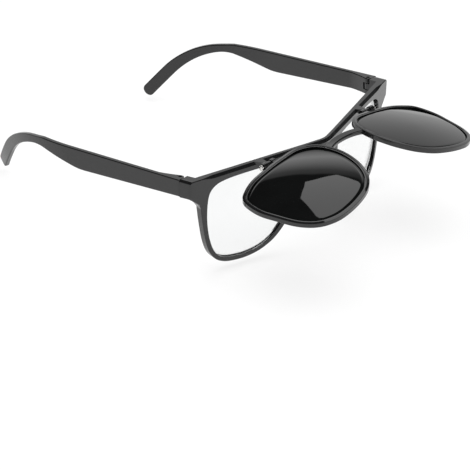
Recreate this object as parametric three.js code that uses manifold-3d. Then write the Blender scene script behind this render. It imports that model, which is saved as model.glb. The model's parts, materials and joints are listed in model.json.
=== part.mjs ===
// Flip-up welding goggles: a safety frame with clear lenses, folding temples and
// a second front with dark lenses that flips up on two screw hinges.
// Millimetres. X points to the wearer's left, Y back to the ears, Z up, and the
// front faces -Y. Each half of the two fronts is drawn flat, as seen from the
// front (x from the centre line outwards, z down from the top edge), and turned
// back by its wrap angle. The left side is built and the right side mirrors it.

import * as THREE from 'three';
import { mergeVertices } from 'three/addons/utils/BufferGeometryUtils.js';
import Module from 'manifold-3d';

const wasm = await Module();
wasm.setup();

const rad = THREE.MathUtils.degToRad;

// Fits
const GAP = 0.3; // running and seating clearance between two pieces
const BORE_GAP = 0.25; // radial clearance of a screw in its knuckles

// Front frame
const FRONT_HALF_WIDTH = 72.5; // centre to the outer face of an endpiece
const FRONT_WRAP = rad(15.4);
const FRONT_TILT = rad(4.1); // the rims lean back towards the cheeks
const FRONT_DEPTH = 3.4;
const FRONT_EDGE = 0.5; // rounding of the front's edges
const FRONT_CORNER = 2; // rounding of the corners at the endpieces and the bridge
const BROW_HEIGHT = 2.6; // top edge to the top of a lens opening
const BROW_THINNING = 0.9; // depth the top edge has lost at the bridge
const BROW_SLOPE = 2; // height over which that loss runs out
const LENS_WIDTH = 53.9; // lens opening, nose side to temple side
const LENS_HEIGHT = 40.1;
const LENS_NOSE = 12; // centre line to the nose side of a lens opening
const RIM_WIDTH = 2.1; // rim under a lens opening
const NOSE_RIM_WIDTH = 2.6;
const SIDE_WIDTH = 5; // rim beside a lens opening, under the endpiece
const SIDE_TAPER = 28; // top edge down to where the side has narrowed to the rim
const BRIDGE_HEIGHT = 6.6; // top edge to the underside of the bridge
const ENDPIECE_HEIGHT = 8;
const ENDPIECE_RETURN = 6; // side face, from the front corner back to the joint
const ENDPIECE_WIDTH = 5.6; // butt face that meets the temple and carries its hinge
const ENDPIECE_ROOT = 1.2; // the block behind the plate starts this far inside the butt face
const ENDPIECE_CORNER = 0.9; // chamfer between the front and the side face

// Recess of the brow that makes room for the flip hinges
const RECESS_DEPTH = 0.8;
const RECESS_FULL = 52; // from the centre: full depth up to here
const RECESS_END = 66; // faded out here

// Nose pads moulded on the back of the rims
const PAD_DROP = 20; // top edge down to the middle of a pad
const PAD_LENGTH = 15;
const PAD_WIDTH = 3.6;
const PAD_REACH = 3.4; // behind the rim

// Lenses
const GROOVE_DEPTH = 0.9;
const LENS_TONGUE = 0.6; // thickness of the lens edge that sits in a groove
const LENS_RINGS = [0.66, 0.28]; // rings of a domed face, as shares of its outline
const CLEAR_THICKNESS = 1.8;
const CLEAR_DOME = 1.2;
const DARK_THICKNESS = 1.6;
const DARK_DOME = 1.7;

// Flip front
const FLIP_WRAP = rad(10.4);
const FLIP_RAISE = rad(81); // rest position, measured from closed
const FLIP_WIDTH = 56.9; // rim of one lens, outside
const FLIP_HEIGHT = 45.9;
const FLIP_NOSE = 9.9; // centre line to the nose side of a rim
const FLIP_DROP = 1.7; // hinge axis down to the top of a rim
const FLIP_DEPTH = 2.4; // rim, front to back
const FLIP_AHEAD = 1.4; // front of the rim ahead of the hinge axis
const FLIP_RIM_WIDTH = 2.6;
const FLIP_SLOPE = 0.65; // sloped outer edge at the front of the rim
const FLIP_RIDGE = 0.4; // flat top of the ridge inside that edge
const FLIP_LIP = 0.4; // fall from the ridge to the lens
const FLIP_BACK_EDGE = 0.3;
const FLIP_BRIDGE_DROP = 14.3; // hinge axis down to the top of the arch
const FLIP_BRIDGE_RISE = 3.2;
const FLIP_BRIDGE_HEIGHT = 3.6;
const FLIP_BRIDGE_DEPTH = 2.2;
const FLIP_BRIDGE_BOW = 0.3; // forward bow in the middle
const FLIP_BRIDGE_EDGE = 0.6;

// Flip hinges
const HINGE_OFFSET = 36.4; // centre line to the middle knuckle
const HINGE_AHEAD = 4.2; // hinge axis ahead of the front, at the middle knuckle
const HINGE_DROP = 0.8; // hinge axis under the top edge of the front
const HINGE_RADIUS = 1.7; // outer knuckles, on the flip front
const TAB_RADIUS = 1.4; // middle knuckle, on the frame's tab
const TAB_WIDTH = 2.4;
const TAB_FLARE = 1.3; // how far the tab widens where it leaves the brow
const TAB_THICKNESS = 1.8;
const TAB_ROOT = 0.4; // the tab is rooted this deep behind the recess
const KNUCKLE_WIDTH = 2.6;
const KNUCKLE_INSET = 0.45; // foot of a knuckle inside the faces of the rim
const FLIP_SCREW_RADIUS = 0.6;
const FLIP_HEAD_RADIUS = 1.25;
const FLIP_HEAD_HEIGHT = 1.1;

// Temples
const TEMPLE_THICKNESS = 2.4;
const TEMPLE_EDGE = 0.5;
const TEMPLE_JOINT_HEIGHT = 7.8;
const TEMPLE_BREAK_HEIGHT = 9.4; // tallest place, where the lower edge breaks
const TEMPLE_BREAK = 57.7; // along the temple from the joint
const TEMPLE_NECK_HEIGHT = 3.5;
const TEMPLE_NECK = 84.4;
const TEMPLE_TIP_HEIGHT = 5.6;
const TIP_GROWTH = 30; // from the neck to where the tip has its full height
const TEMPLE_CONVERGE = rad(1.15);
const EAR_BEND = 79.6; // downward bend starts here
const EAR_RADIUS = 46.4;
const EAR_DROP = rad(45.7);
const EAR_STRAIGHT = 13.8; // from the end of the bend to the rounding of the tip
const WRAP_BEND = 63.3; // inward bend starts here
const WRAP_RADIUS = 101.3;

// Temple hinges: a leaf on the endpiece between two knuckles on the temple
const PIVOT_INSET = 3.6; // outer face of the temple to the hinge axis
const PIVOT_BEHIND = 2.2; // butt face of the endpiece to the hinge axis
const PIVOT_RADIUS = 1.6;
const LEAF_TOP = 2.6; // top edge down to the leaf
const LEAF_HEIGHT = 2.8;
const BOSS_LENGTH = 14; // the temple's inner side swells over this length to the knuckles
const BOSS_BLUNT = 0.6; // width of the swelling's thin end, inside the temple
const BOSS_DROP = 0.15; // top edge down to the top of the boss
const BOSS_EDGE = 0.3;
const PIVOT_SCREW_RADIUS = 0.6;
const PIVOT_HEAD_RADIUS = 1.2;
const PIVOT_HEAD_HEIGHT = 0.6;

const FINE_EDGE = 0.15; // broken edge of a knuckle
const SLOT_WIDTH = 0.5;
const SLOT_DEPTH = 0.4;
const HEAD_CHAMFER = 0.3;
const OUTLINE_POINTS = 42;
const ROUND = 18; // sides of a knuckle, screw or bore
const STATION = 2.9; // spacing of the sections along the bent part of a temple
const BEYOND = 1; // overshoot of a cutting body

const UP = new THREE.Vector3(0, 0, 1);
const BACK = new THREE.Vector3(0, 1, 0);
const ACROSS = new THREE.Vector3(1, 0, 0);
const FROM_FRONT = new THREE.Matrix4().makeBasis(ACROSS, UP, BACK.clone().negate());
const FROM_SIDE = new THREE.Matrix4().makeBasis(BACK, UP, ACROSS);

// Solids from closed geometries

function solid(geometry) {
  const bare = geometry.clone();
  bare.deleteAttribute('normal');
  bare.deleteAttribute('uv');
  const merged = mergeVertices(bare, 1e-4);
  return new wasm.Manifold(new wasm.Mesh({
    numProp: 3,
    vertProperties: Float32Array.from(merged.attributes.position.array),
    triVerts: Uint32Array.from(merged.index.array),
  }));
}

function geometryOf(body) {
  const { vertProperties, triVerts } = body.getMesh();
  const geometry = new THREE.BufferGeometry();
  geometry.setAttribute('position', new THREE.BufferAttribute(vertProperties, 3));
  geometry.setIndex(new THREE.BufferAttribute(triVerts, 1));
  geometry.computeVertexNormals();
  return geometry;
}

const mirrored = (body) => body.mirror([1, 0, 0]);
const joined = (bodies) => bodies.reduce((all, body) => all.add(body));
const cut = (body, tools) => tools.reduce((left, tool) => left.subtract(tool), body);

// Bodies drawn in one view and given a depth

function extruded(shape, depth, edge) {
  return new THREE.ExtrudeGeometry(shape, {
    depth: depth - 2 * edge,
    bevelEnabled: edge > 0,
    bevelThickness: edge,
    bevelSize: edge,
    bevelOffset: -edge,
    bevelSegments: 1,
    curveSegments: ROUND / 2,
  }).translate(0, 0, edge);
}

// Front view (x, z), between two depths along Y
function fromFront(shape, front, back, edge = 0) {
  return solid(extruded(shape, back - front, edge).applyMatrix4(FROM_FRONT).translate(0, back, 0));
}

// Side view (y, z), between two places along X
function fromSide(shape, start, end, edge = 0) {
  return solid(extruded(shape, end - start, edge).applyMatrix4(FROM_SIDE).translate(start, 0, 0));
}

// Plan view (x, y), between two heights
function fromTop(shape, bottom, top, edge = 0) {
  return solid(extruded(shape, top - bottom, edge).translate(0, 0, bottom));
}

const polygon = (corners) => new THREE.Shape(corners.map(([x, y]) => new THREE.Vector2(x, y)));
const disc = (radius, x = 0, y = 0) => new THREE.Shape().absarc(x, y, radius, 0, 2 * Math.PI);

// Outlines

// Closed smooth curve through a few points given as shares of a width and a height
function smoothOutline(shares, left, width, top, height) {
  const knots = shares.map(([u, v]) => new THREE.Vector3(left + u * width, top - v * height, 0));
  const curve = new THREE.CatmullRomCurve3(knots, true, 'centripetal');
  return curve.getSpacedPoints(OUTLINE_POINTS).slice(0, -1).map((p) => new THREE.Vector2(p.x, p.y));
}

// Moves a clockwise closed outline along its normals, outwards where positive;
// the distance is a number or a function of the point
function offset(outline, distance) {
  return outline.map((point, i) => {
    const before = outline.at(i - 1);
    const after = outline[(i + 1) % outline.length];
    const along = after.clone().sub(before).normalize();
    const step = typeof distance === 'function' ? distance(point) : distance;
    return new THREE.Vector2(point.x - along.y * step, point.y + along.x * step);
  });
}

// Corners of a rectangle with chamfered edges, about its middle
function chamfered(width, height, edge) {
  const x = width / 2;
  const y = height / 2;
  return [
    [x, y - edge], [x - edge, y], [edge - x, y], [-x, y - edge],
    [-x, edge - y], [edge - x, -y], [x - edge, -y], [x, edge - y],
  ];
}

function centre(outline) {
  const box = new THREE.Box2().setFromPoints(outline);
  return box.getCenter(new THREE.Vector2());
}

// Lofts

// Closed body through loops of equal length; open ends get a flat cap
function loft(loops, ring = false) {
  const count = loops[0].length;
  const positions = loops.flat().flatMap((p) => [p.x, p.y, p.z]);
  const indices = [];
  const last = ring ? loops.length : loops.length - 1;
  for (let i = 0; i < last; i += 1) {
    const a = i * count;
    const b = ((i + 1) % loops.length) * count;
    for (let j = 0; j < count; j += 1) {
      const k = (j + 1) % count;
      indices.push(a + j, b + j, a + k, a + k, b + j, b + k);
    }
  }
  if (!ring) {
    const end = (loops.length - 1) * count;
    for (let j = 1; j < count - 1; j += 1) {
      indices.push(0, j, j + 1, end, end + j + 1, end + j);
    }
  }
  const geometry = new THREE.BufferGeometry();
  geometry.setAttribute('position', new THREE.Float32BufferAttribute(positions, 3));
  geometry.setIndex(indices);
  const body = solid(geometry);
  return body.volume() > 0 ? body : solid(geometry.setIndex(indices.reverse()));
}

// Sweeps a section of (inset from the outline, depth) around a closed outline
function sweptRim(outline, section) {
  const loops = section.map(([inset, depth]) => (
    offset(outline, -inset).map((p) => new THREE.Vector3(p.x, depth, p.y))
  ));
  return loft(loops, true);
}

// Domed lens in an opening: its tongue reaches into the groove, with the
// clearance all round, and its body stands clear of the lips
function lens(opening, middle, thickness, dome) {
  const tongue = offset(opening, GROOVE_DEPTH - GAP);
  const body = offset(opening, -GAP);
  const heart = centre(opening);
  const loop = (outline, depth) => outline.map((p) => new THREE.Vector3(p.x, depth, p.y));
  const face = (side) => LENS_RINGS.map((share) => body.map((p) => new THREE.Vector3(
    heart.x + (p.x - heart.x) * share,
    middle + side * thickness / 2 - dome * (1 - share * share),
    heart.y + (p.y - heart.y) * share,
  )));
  return loft([
    ...face(-1).reverse(),
    loop(body, middle - thickness / 2),
    loop(body, middle - LENS_TONGUE / 2),
    loop(tongue, middle - LENS_TONGUE / 2),
    loop(tongue, middle + LENS_TONGUE / 2),
    loop(body, middle + LENS_TONGUE / 2),
    loop(body, middle + thickness / 2),
    ...face(1),
  ]);
}

// Screw along Z: slotted head on top, shank down from the underside of the head
function screw(radius, length, headRadius, headHeight) {
  const profile = [
    [0, -length], [radius, -length], [radius, 0], [headRadius, 0],
    [headRadius, headHeight - HEAD_CHAMFER], [headRadius - HEAD_CHAMFER, headHeight], [0, headHeight],
  ].map(([r, z]) => new THREE.Vector2(r, z));
  const turned = solid(new THREE.LatheGeometry(profile, ROUND).rotateX(Math.PI / 2));
  const slot = new THREE.BoxGeometry(SLOT_WIDTH, 4 * headRadius, 2 * SLOT_DEPTH);
  return turned.subtract(solid(slot.translate(0, 0, headHeight)));
}

// Places that several pieces share

const turnFront = (body) => body
  .rotate([THREE.MathUtils.radToDeg(FRONT_TILT), 0, 0])
  .rotate([0, 0, THREE.MathUtils.radToDeg(FRONT_WRAP)]);
const frontAt = (x) => x * Math.tan(FRONT_WRAP); // front face, at a distance from the centre
const grooveWidth = LENS_TONGUE + 2 * GAP;
const frontGroove = (FRONT_DEPTH + RECESS_DEPTH) / 2; // front face to the middle of the lens groove

const lensOpening = smoothOutline([
  [0.064, 0.018], [0.165, 0], [0.5, 0], [0.735, 0], [0.835, 0.01], [0.907, 0.033], [0.96, 0.084],
  [0.987, 0.16], [1, 0.36], [0.993, 0.52], [0.973, 0.67], [0.93, 0.83], [0.875, 0.92],
  [0.797, 0.972], [0.696, 0.995], [0.603, 1], [0.482, 0.978], [0.403, 0.938], [0.342, 0.89],
  [0.284, 0.82], [0.21, 0.7], [0.137, 0.55], [0.07, 0.385], [0.018, 0.235], [0, 0.135], [0.015, 0.06],
], LENS_NOSE, LENS_WIDTH, -BROW_HEIGHT, LENS_HEIGHT);

const hinge = {
  x: HINGE_OFFSET,
  y: frontAt(HINGE_OFFSET) - HINGE_AHEAD,
  z: -HINGE_DROP,
};

const frontCorner = frontAt(FRONT_HALF_WIDTH);
const buttFace = frontCorner + ENDPIECE_RETURN;
const pivot = { x: FRONT_HALF_WIDTH - PIVOT_INSET, y: buttFace + PIVOT_BEHIND };

// Front frame

// Width of the rim round the lower part of a lens opening: it grows up the temple side
function rimWidth(point) {
  if (point.x < LENS_NOSE + LENS_WIDTH / 2) return NOSE_RIM_WIDTH;
  const share = THREE.MathUtils.clamp((point.y + SIDE_TAPER) / (SIDE_TAPER - ENDPIECE_HEIGHT), 0, 1);
  return THREE.MathUtils.lerp(RIM_WIDTH, SIDE_WIDTH, share * share);
}

// Brow, side and rim of one half as one outline round the lens opening
function frontOutline() {
  const end = FRONT_HALF_WIDTH / Math.cos(FRONT_WRAP);
  const corner = FRONT_CORNER;
  const middle = LENS_NOSE + LENS_WIDTH / 2;
  const isRim = (p) => p.y < (p.x > middle ? -ENDPIECE_HEIGHT - corner : -BRIDGE_HEIGHT - 2 * corner);
  const shape = new THREE.Shape();
  shape.moveTo(-corner, 0);
  shape.lineTo(end - corner, 0);
  shape.quadraticCurveTo(end, 0, end, -corner);
  shape.lineTo(end, corner - ENDPIECE_HEIGHT);
  offset(lensOpening, rimWidth)
    .filter((_, i) => isRim(lensOpening[i]))
    .forEach((p) => shape.lineTo(p.x, p.y));
  shape.quadraticCurveTo(LENS_NOSE - 2 * corner, -BRIDGE_HEIGHT, -corner, -BRIDGE_HEIGHT);
  shape.holes.push(new THREE.Path(lensOpening.toReversed()));
  return shape;
}

// Recess along the brow's front face, interrupted at the tab and faded out to the side
function browRecess() {
  const depth = RECESS_DEPTH;
  const tab = HINGE_OFFSET / Math.cos(FRONT_WRAP);
  const reach = TAB_WIDTH / 2 + TAB_FLARE;
  const plans = [
    [[-LENS_NOSE, -BEYOND], [tab - reach, -BEYOND], [tab - reach, depth], [-LENS_NOSE, depth]],
    [
      [tab + reach, -BEYOND], [RECESS_END, -BEYOND], [RECESS_END, 0],
      [RECESS_FULL, depth], [tab + reach, depth],
    ],
  ];
  return plans.map((plan) => turnFront(fromTop(polygon(plan), -BROW_HEIGHT - FRONT_EDGE, BEYOND)));
}

// Tab and middle knuckle of a flip hinge; its root ends short of the lens groove
function hingeTab() {
  const half = TAB_WIDTH / 2;
  const clear = hinge.y + HINGE_RADIUS + GAP;
  const root = [1, -1].map((side) => {
    const x = hinge.x + side * (half + TAB_FLARE);
    return [x, frontAt(x) + RECESS_DEPTH + TAB_ROOT];
  });
  const plan = polygon([
    [hinge.x - half, hinge.y], [hinge.x + half, hinge.y], [hinge.x + half, clear],
    ...root, [hinge.x - half, clear],
  ]);
  const knuckle = fromSide(disc(TAB_RADIUS, hinge.y, hinge.z), hinge.x - half, hinge.x + half, FINE_EDGE);
  return fromTop(plan, -TAB_THICKNESS, 0, FINE_EDGE).add(knuckle);
}

function flipBore(radius) {
  const reach = TAB_WIDTH + 2 * KNUCKLE_WIDTH;
  return fromSide(disc(radius, hinge.y, hinge.z), hinge.x - reach, hinge.x + reach);
}

// Block that carries the front round to the temple joint, behind the plate's front face
function endpiece() {
  const inner = FRONT_HALF_WIDTH - ENDPIECE_WIDTH;
  const root = inner - ENDPIECE_ROOT;
  return fromTop(polygon([
    [root, frontAt(root) + FRONT_DEPTH / 2],
    [FRONT_HALF_WIDTH - ENDPIECE_CORNER, frontCorner + ENDPIECE_CORNER / 2],
    [FRONT_HALF_WIDTH, frontCorner + 1.5 * ENDPIECE_CORNER],
    [FRONT_HALF_WIDTH, buttFace],
    [inner, buttFace],
    [root, frontAt(root) + FRONT_DEPTH - FINE_EDGE],
  ]), -ENDPIECE_HEIGHT, 0, 2 * FINE_EDGE);
}

// Wedge off the top edge's back, growing towards the bridge
function browThinning() {
  const reach = LENS_NOSE + LENS_WIDTH;
  const corners = (x, share) => [
    [FRONT_DEPTH - BROW_THINNING * share, BEYOND],
    [FRONT_DEPTH - BROW_THINNING * share, 0],
    [FRONT_DEPTH + FINE_EDGE, -BROW_SLOPE * share],
    [FRONT_DEPTH + BEYOND, BEYOND],
  ].map(([y, z]) => new THREE.Vector3(x, y, z));
  return turnFront(loft([corners(-LENS_NOSE, 1), corners(LENS_NOSE, 1), corners(reach, 0.02)]));
}

// Leaf that the temple's two knuckles hold between them
function leaf() {
  const plan = new THREE.Shape();
  plan.moveTo(pivot.x + PIVOT_RADIUS, buttFace - BEYOND);
  plan.absarc(pivot.x, pivot.y, PIVOT_RADIUS, 0, Math.PI);
  plan.lineTo(pivot.x - PIVOT_RADIUS, buttFace - BEYOND);
  return fromTop(plan, -LEAF_TOP - LEAF_HEIGHT, -LEAF_TOP, FINE_EDGE);
}

function pivotBore(radius) {
  return fromTop(disc(radius, pivot.x, pivot.y), -2 * ENDPIECE_HEIGHT, ENDPIECE_HEIGHT);
}

// Pad on the back of the rim's nose side, along its slope
function nosePad() {
  const seat = offset(lensOpening, NOSE_RIM_WIDTH / 2).filter((p) => p.x < LENS_NOSE + LENS_WIDTH / 2);
  const nearest = (drop) => seat.reduce((a, b) => (Math.abs(b.y + drop) < Math.abs(a.y + drop) ? b : a));
  const top = nearest(PAD_DROP - PAD_LENGTH / 2);
  const bottom = nearest(PAD_DROP + PAD_LENGTH / 2);
  const middle = top.clone().add(bottom).divideScalar(2);
  const pad = new THREE.SphereGeometry(0.5, 14, 8);
  pad.scale(PAD_WIDTH, 2 * PAD_REACH, PAD_LENGTH);
  pad.rotateY(-Math.atan2(bottom.x - top.x, top.y - bottom.y));
  return solid(pad.translate(middle.x - NOSE_RIM_WIDTH / 2, FRONT_DEPTH - FRONT_EDGE, middle.y));
}

function frontFrame() {
  const outline = (points) => polygon(points.map((p) => [p.x, p.y]));
  const opening = fromFront(outline(lensOpening), -FRONT_DEPTH, 3 * FRONT_DEPTH);
  const groove = fromFront(
    outline(offset(lensOpening, GROOVE_DEPTH)),
    frontGroove - grooveWidth / 2,
    frontGroove + grooveWidth / 2,
  );
  const plate = fromFront(frontOutline(), 0, FRONT_DEPTH, FRONT_EDGE);
  const padded = plate.add(nosePad().subtract(opening)).subtract(groove);
  const recessed = cut(turnFront(padded), [...browRecess(), browThinning()]);
  const whole = joined([recessed, endpiece(), leaf(), hingeTab()]);
  const bored = cut(whole, [
    flipBore(FLIP_SCREW_RADIUS + BORE_GAP),
    pivotBore(PIVOT_SCREW_RADIUS + BORE_GAP),
  ]);
  const half = bored.trimByPlane([1, 0, 0], 0);
  return half.add(mirrored(half));
}

function clearLens() {
  return turnFront(lens(lensOpening, frontGroove, CLEAR_THICKNESS, CLEAR_DOME));
}

// Screw from below through the temple's knuckles and the leaf
function templeScrew() {
  const stack = TEMPLE_JOINT_HEIGHT - 2 * BOSS_DROP;
  return screw(PIVOT_SCREW_RADIUS, stack, PIVOT_HEAD_RADIUS, PIVOT_HEAD_HEIGHT)
    .rotate([180, 0, 0])
    .translate([pivot.x, pivot.y, BOSS_DROP - TEMPLE_JOINT_HEIGHT - GAP]);
}

// Flip front, drawn closed with the hinge axis as its origin

const flipRim = smoothOutline([
  [1, 0.37], [0.98, 0.555], [0.925, 0.775], [0.84, 0.92], [0.705, 0.99], [0.56, 1], [0.4, 0.993],
  [0.27, 0.945], [0.155, 0.83], [0.07, 0.67], [0.014, 0.49], [0.002, 0.33], [0.055, 0.15],
  [0.19, 0.035], [0.38, 0.004], [0.58, 0], [0.73, 0], [0.85, 0.035], [0.945, 0.14],
], FLIP_NOSE, FLIP_WIDTH, -FLIP_DROP, FLIP_HEIGHT);

const flipOpening = offset(flipRim, -FLIP_RIM_WIDTH);
const flipGroove = FLIP_DEPTH / 2; // middle of the lens groove behind the front of the rim

// Turns a half of the flip front about the upright through the hinge's middle knuckle
function turnFlip(body) {
  return body
    .translate([-HINGE_OFFSET / Math.cos(FLIP_WRAP), -FLIP_AHEAD, 0])
    .rotate([0, 0, THREE.MathUtils.radToDeg(FLIP_WRAP)])
    .translate([HINGE_OFFSET, 0, 0]);
}

// Ridge with a sloped outer edge, and the lens groove in the inner wall
function flipRimSection() {
  const inner = FLIP_RIM_WIDTH;
  const floor = inner - GROOVE_DEPTH;
  const half = grooveWidth / 2;
  return [
    [FLIP_BACK_EDGE, FLIP_DEPTH], [0, FLIP_DEPTH - FLIP_BACK_EDGE], [0, FLIP_SLOPE], [FLIP_SLOPE, 0],
    [FLIP_SLOPE + FLIP_RIDGE, 0], [inner, FLIP_LIP],
    [inner, flipGroove - half], [floor, flipGroove - half],
    [floor, flipGroove + half], [inner, flipGroove + half], [inner, FLIP_DEPTH],
  ];
}

// Arched bar between the two rims
function flipBridge() {
  const reach = FLIP_NOSE + FLIP_RIM_WIDTH / 4;
  const depth = -FLIP_AHEAD + FLIP_DEPTH / 2 - (HINGE_OFFSET - reach) * Math.tan(FLIP_WRAP);
  const foot = -FLIP_BRIDGE_DROP - FLIP_BRIDGE_RISE - FLIP_BRIDGE_HEIGHT / 2;
  const arch = new THREE.CatmullRomCurve3([-1, -0.5, 0, 0.5, 1].map((share) => {
    const rise = 1 - share * share;
    return new THREE.Vector3(share * reach, depth - FLIP_BRIDGE_BOW * rise, foot + FLIP_BRIDGE_RISE * rise);
  }));
  const section = chamfered(FLIP_BRIDGE_DEPTH, FLIP_BRIDGE_HEIGHT, FLIP_BRIDGE_EDGE);
  const stations = 12;
  const loops = Array.from({ length: stations + 1 }, (_, i) => {
    const point = arch.getPointAt(i / stations);
    const along = arch.getTangentAt(i / stations);
    const up = along.clone().cross(BACK).negate().normalize();
    return section.map(([y, z]) => point.clone().addScaledVector(BACK, y).addScaledVector(up, z));
  });
  return loft(loops);
}

// Outer knuckle with its foot on the rim, on one side of the tab
function flipKnuckle(side) {
  const near = TAB_WIDTH / 2 + GAP;
  const start = HINGE_OFFSET + (side > 0 ? near : -near - KNUCKLE_WIDTH);
  const lean = side * (near + KNUCKLE_WIDTH / 2) * Math.tan(FLIP_WRAP); // the rim recedes to the side
  const front = lean - FLIP_AHEAD + KNUCKLE_INSET;
  const back = lean - FLIP_AHEAD + FLIP_DEPTH - KNUCKLE_INSET;
  const low = -FLIP_DROP - FLIP_RIM_WIDTH + GROOVE_DEPTH + KNUCKLE_INSET;
  const foot = polygon([[front, low], [back, low], [back, 0], [front, 0]]);
  const trunk = fromSide(foot, start, start + KNUCKLE_WIDTH);
  return trunk.add(fromSide(disc(HINGE_RADIUS), start, start + KNUCKLE_WIDTH, FINE_EDGE));
}

function flipFrame() {
  const rim = turnFlip(sweptRim(flipRim, flipRimSection()));
  const room = TAB_WIDTH / 2 + GAP;
  const tabRoom = fromSide(disc(TAB_RADIUS + GAP), HINGE_OFFSET - room, HINGE_OFFSET + room);
  const bore = flipBore(FLIP_SCREW_RADIUS + BORE_GAP).translate([0, -hinge.y, -hinge.z]);
  const half = cut(joined([rim.subtract(tabRoom), flipKnuckle(-1), flipKnuckle(1)]), [bore]);
  return joined([half, mirrored(half), flipBridge()]);
}

function darkLens() {
  return turnFlip(lens(flipOpening, flipGroove, DARK_THICKNESS, DARK_DOME));
}

// Screw from the temple side through the three knuckles
function flipScrew() {
  const stack = TAB_WIDTH / 2 + GAP + KNUCKLE_WIDTH;
  return screw(FLIP_SCREW_RADIUS, 2 * stack + GAP, FLIP_HEAD_RADIUS, FLIP_HEAD_HEIGHT)
    .rotate([0, 90, 0])
    .translate([HINGE_OFFSET + stack + GAP, 0, 0]);
}

// Temples, drawn with the hinge axis as their origin

// Height of the temple at a distance along it
function templeHeight(along) {
  const between = (start, end, from, to) => (
    THREE.MathUtils.mapLinear(Math.min(along, end), start, end, from, to)
  );
  if (along < TEMPLE_BREAK) {
    return between(0, TEMPLE_BREAK, TEMPLE_JOINT_HEIGHT, TEMPLE_BREAK_HEIGHT);
  }
  if (along < TEMPLE_NECK) {
    return between(TEMPLE_BREAK, TEMPLE_NECK, TEMPLE_BREAK_HEIGHT, TEMPLE_NECK_HEIGHT);
  }
  return between(TEMPLE_NECK, TEMPLE_NECK + TIP_GROWTH, TEMPLE_NECK_HEIGHT, TEMPLE_TIP_HEIGHT);
}

// Middle line of the temple as seen from the side: distance back, drop and slope
function sideLine(along) {
  if (along < EAR_BEND) return { run: along, drop: 0, slope: 0 };
  const slope = Math.min((along - EAR_BEND) / EAR_RADIUS, EAR_DROP);
  const rest = along - EAR_BEND - slope * EAR_RADIUS;
  return {
    run: EAR_BEND + EAR_RADIUS * Math.sin(slope) + rest * Math.cos(slope),
    drop: EAR_RADIUS * (1 - Math.cos(slope)) + rest * Math.sin(slope),
    slope,
  };
}

// The same run as seen from above: place and heading, bending inwards behind the ear
function planLine(run) {
  const turn = Math.max(0, run - WRAP_BEND) / WRAP_RADIUS;
  const straight = Math.min(run, WRAP_BEND);
  return {
    inward: WRAP_RADIUS * (1 - Math.cos(turn)),
    back: straight + WRAP_RADIUS * Math.sin(turn),
    heading: turn,
  };
}

function templeSection(along, length) {
  const round = TEMPLE_TIP_HEIGHT / 2;
  const tip = Math.max(0, along - (length - round)) / round;
  const height = templeHeight(along) * Math.sqrt(Math.max(0.04, 1 - tip * tip));
  const { run, drop, slope } = sideLine(along);
  const { inward, back, heading } = planLine(run);
  const level = -templeHeight(Math.min(along, EAR_BEND)) / 2;
  const middle = new THREE.Vector3(-inward - TEMPLE_THICKNESS / 2, back, level - drop);
  const side = new THREE.Vector3(Math.cos(heading), Math.sin(heading), 0);
  const forward = new THREE.Vector3(-Math.sin(heading), Math.cos(heading), 0);
  const up = UP.clone().multiplyScalar(Math.cos(slope)).addScaledVector(forward, Math.sin(slope));
  return chamfered(TEMPLE_THICKNESS, height, Math.min(TEMPLE_EDGE, height / 4))
    .map(([a, b]) => middle.clone().addScaledVector(side, a).addScaledVector(up, b));
}

function templeArm() {
  const tip = TEMPLE_TIP_HEIGHT / 2;
  const length = EAR_BEND + EAR_RADIUS * EAR_DROP + EAR_STRAIGHT + tip;
  const past = TEMPLE_BREAK + STATION / 2;
  const straight = [0, TEMPLE_BREAK / 2, TEMPLE_BREAK - STATION / 2, TEMPLE_BREAK, past];
  const count = Math.floor((length - tip - past) / STATION);
  const bent = Array.from({ length: count }, (_, i) => past + (i + 1) * STATION);
  const rounded = [0.35, 0.65, 0.85, 1].map((share) => length - tip + share * tip);
  return loft([...straight, ...bent, ...rounded].map((along) => templeSection(along, length)))
    .rotate([0, 0, THREE.MathUtils.radToDeg(TEMPLE_CONVERGE)])
    .translate([PIVOT_INSET, GAP - PIVOT_BEHIND, 0]);
}

// Swelling of the inner side that ends in the knuckles, rounded about the hinge axis
function hingeBoss() {
  const outer = PIVOT_INSET - TEMPLE_THICKNESS / 2;
  const plan = new THREE.Shape();
  plan.moveTo(outer, BOSS_LENGTH);
  plan.lineTo(outer, -PIVOT_RADIUS);
  plan.lineTo(0, -PIVOT_RADIUS);
  plan.absarc(0, 0, PIVOT_RADIUS, -Math.PI / 2, -Math.PI, true);
  plan.lineTo(-PIVOT_RADIUS, PIVOT_RADIUS / 2);
  plan.lineTo(outer - BOSS_BLUNT, BOSS_LENGTH);
  return fromTop(plan, BOSS_DROP - TEMPLE_JOINT_HEIGHT, -BOSS_DROP, BOSS_EDGE);
}

// Room in the boss for the leaf, also when the temple is folded
function leafRoom() {
  const reach = PIVOT_RADIUS + GAP;
  const far = -2 * PIVOT_INSET;
  const plan = polygon([[far, far], [reach, far], [reach, reach], [far, reach]]);
  return fromTop(plan, -LEAF_TOP - LEAF_HEIGHT - GAP, GAP - LEAF_TOP);
}

function temple() {
  const bore = fromTop(disc(PIVOT_SCREW_RADIUS + BORE_GAP), -2 * TEMPLE_JOINT_HEIGHT, BEYOND);
  return cut(templeArm().add(hingeBoss()), [leafRoom(), bore]);
}

// Assembly

const plastic = new THREE.MeshStandardMaterial({ color: 0x1b1b1d, roughness: 0.32, metalness: 0 });
const clearGlass = new THREE.MeshStandardMaterial({
  color: 0xeef1f2, roughness: 0.05, metalness: 0, transparent: true, opacity: 0.25,
});
const darkGlass = new THREE.MeshStandardMaterial({ color: 0x0c0e0d, roughness: 0.06, metalness: 0 });
const steel = new THREE.MeshStandardMaterial({ color: 0xc9c9c7, roughness: 0.25, metalness: 1 });

function piece(name, body, material) {
  const mesh = new THREE.Mesh(geometryOf(body), material);
  mesh.name = name;
  return mesh;
}

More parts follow.
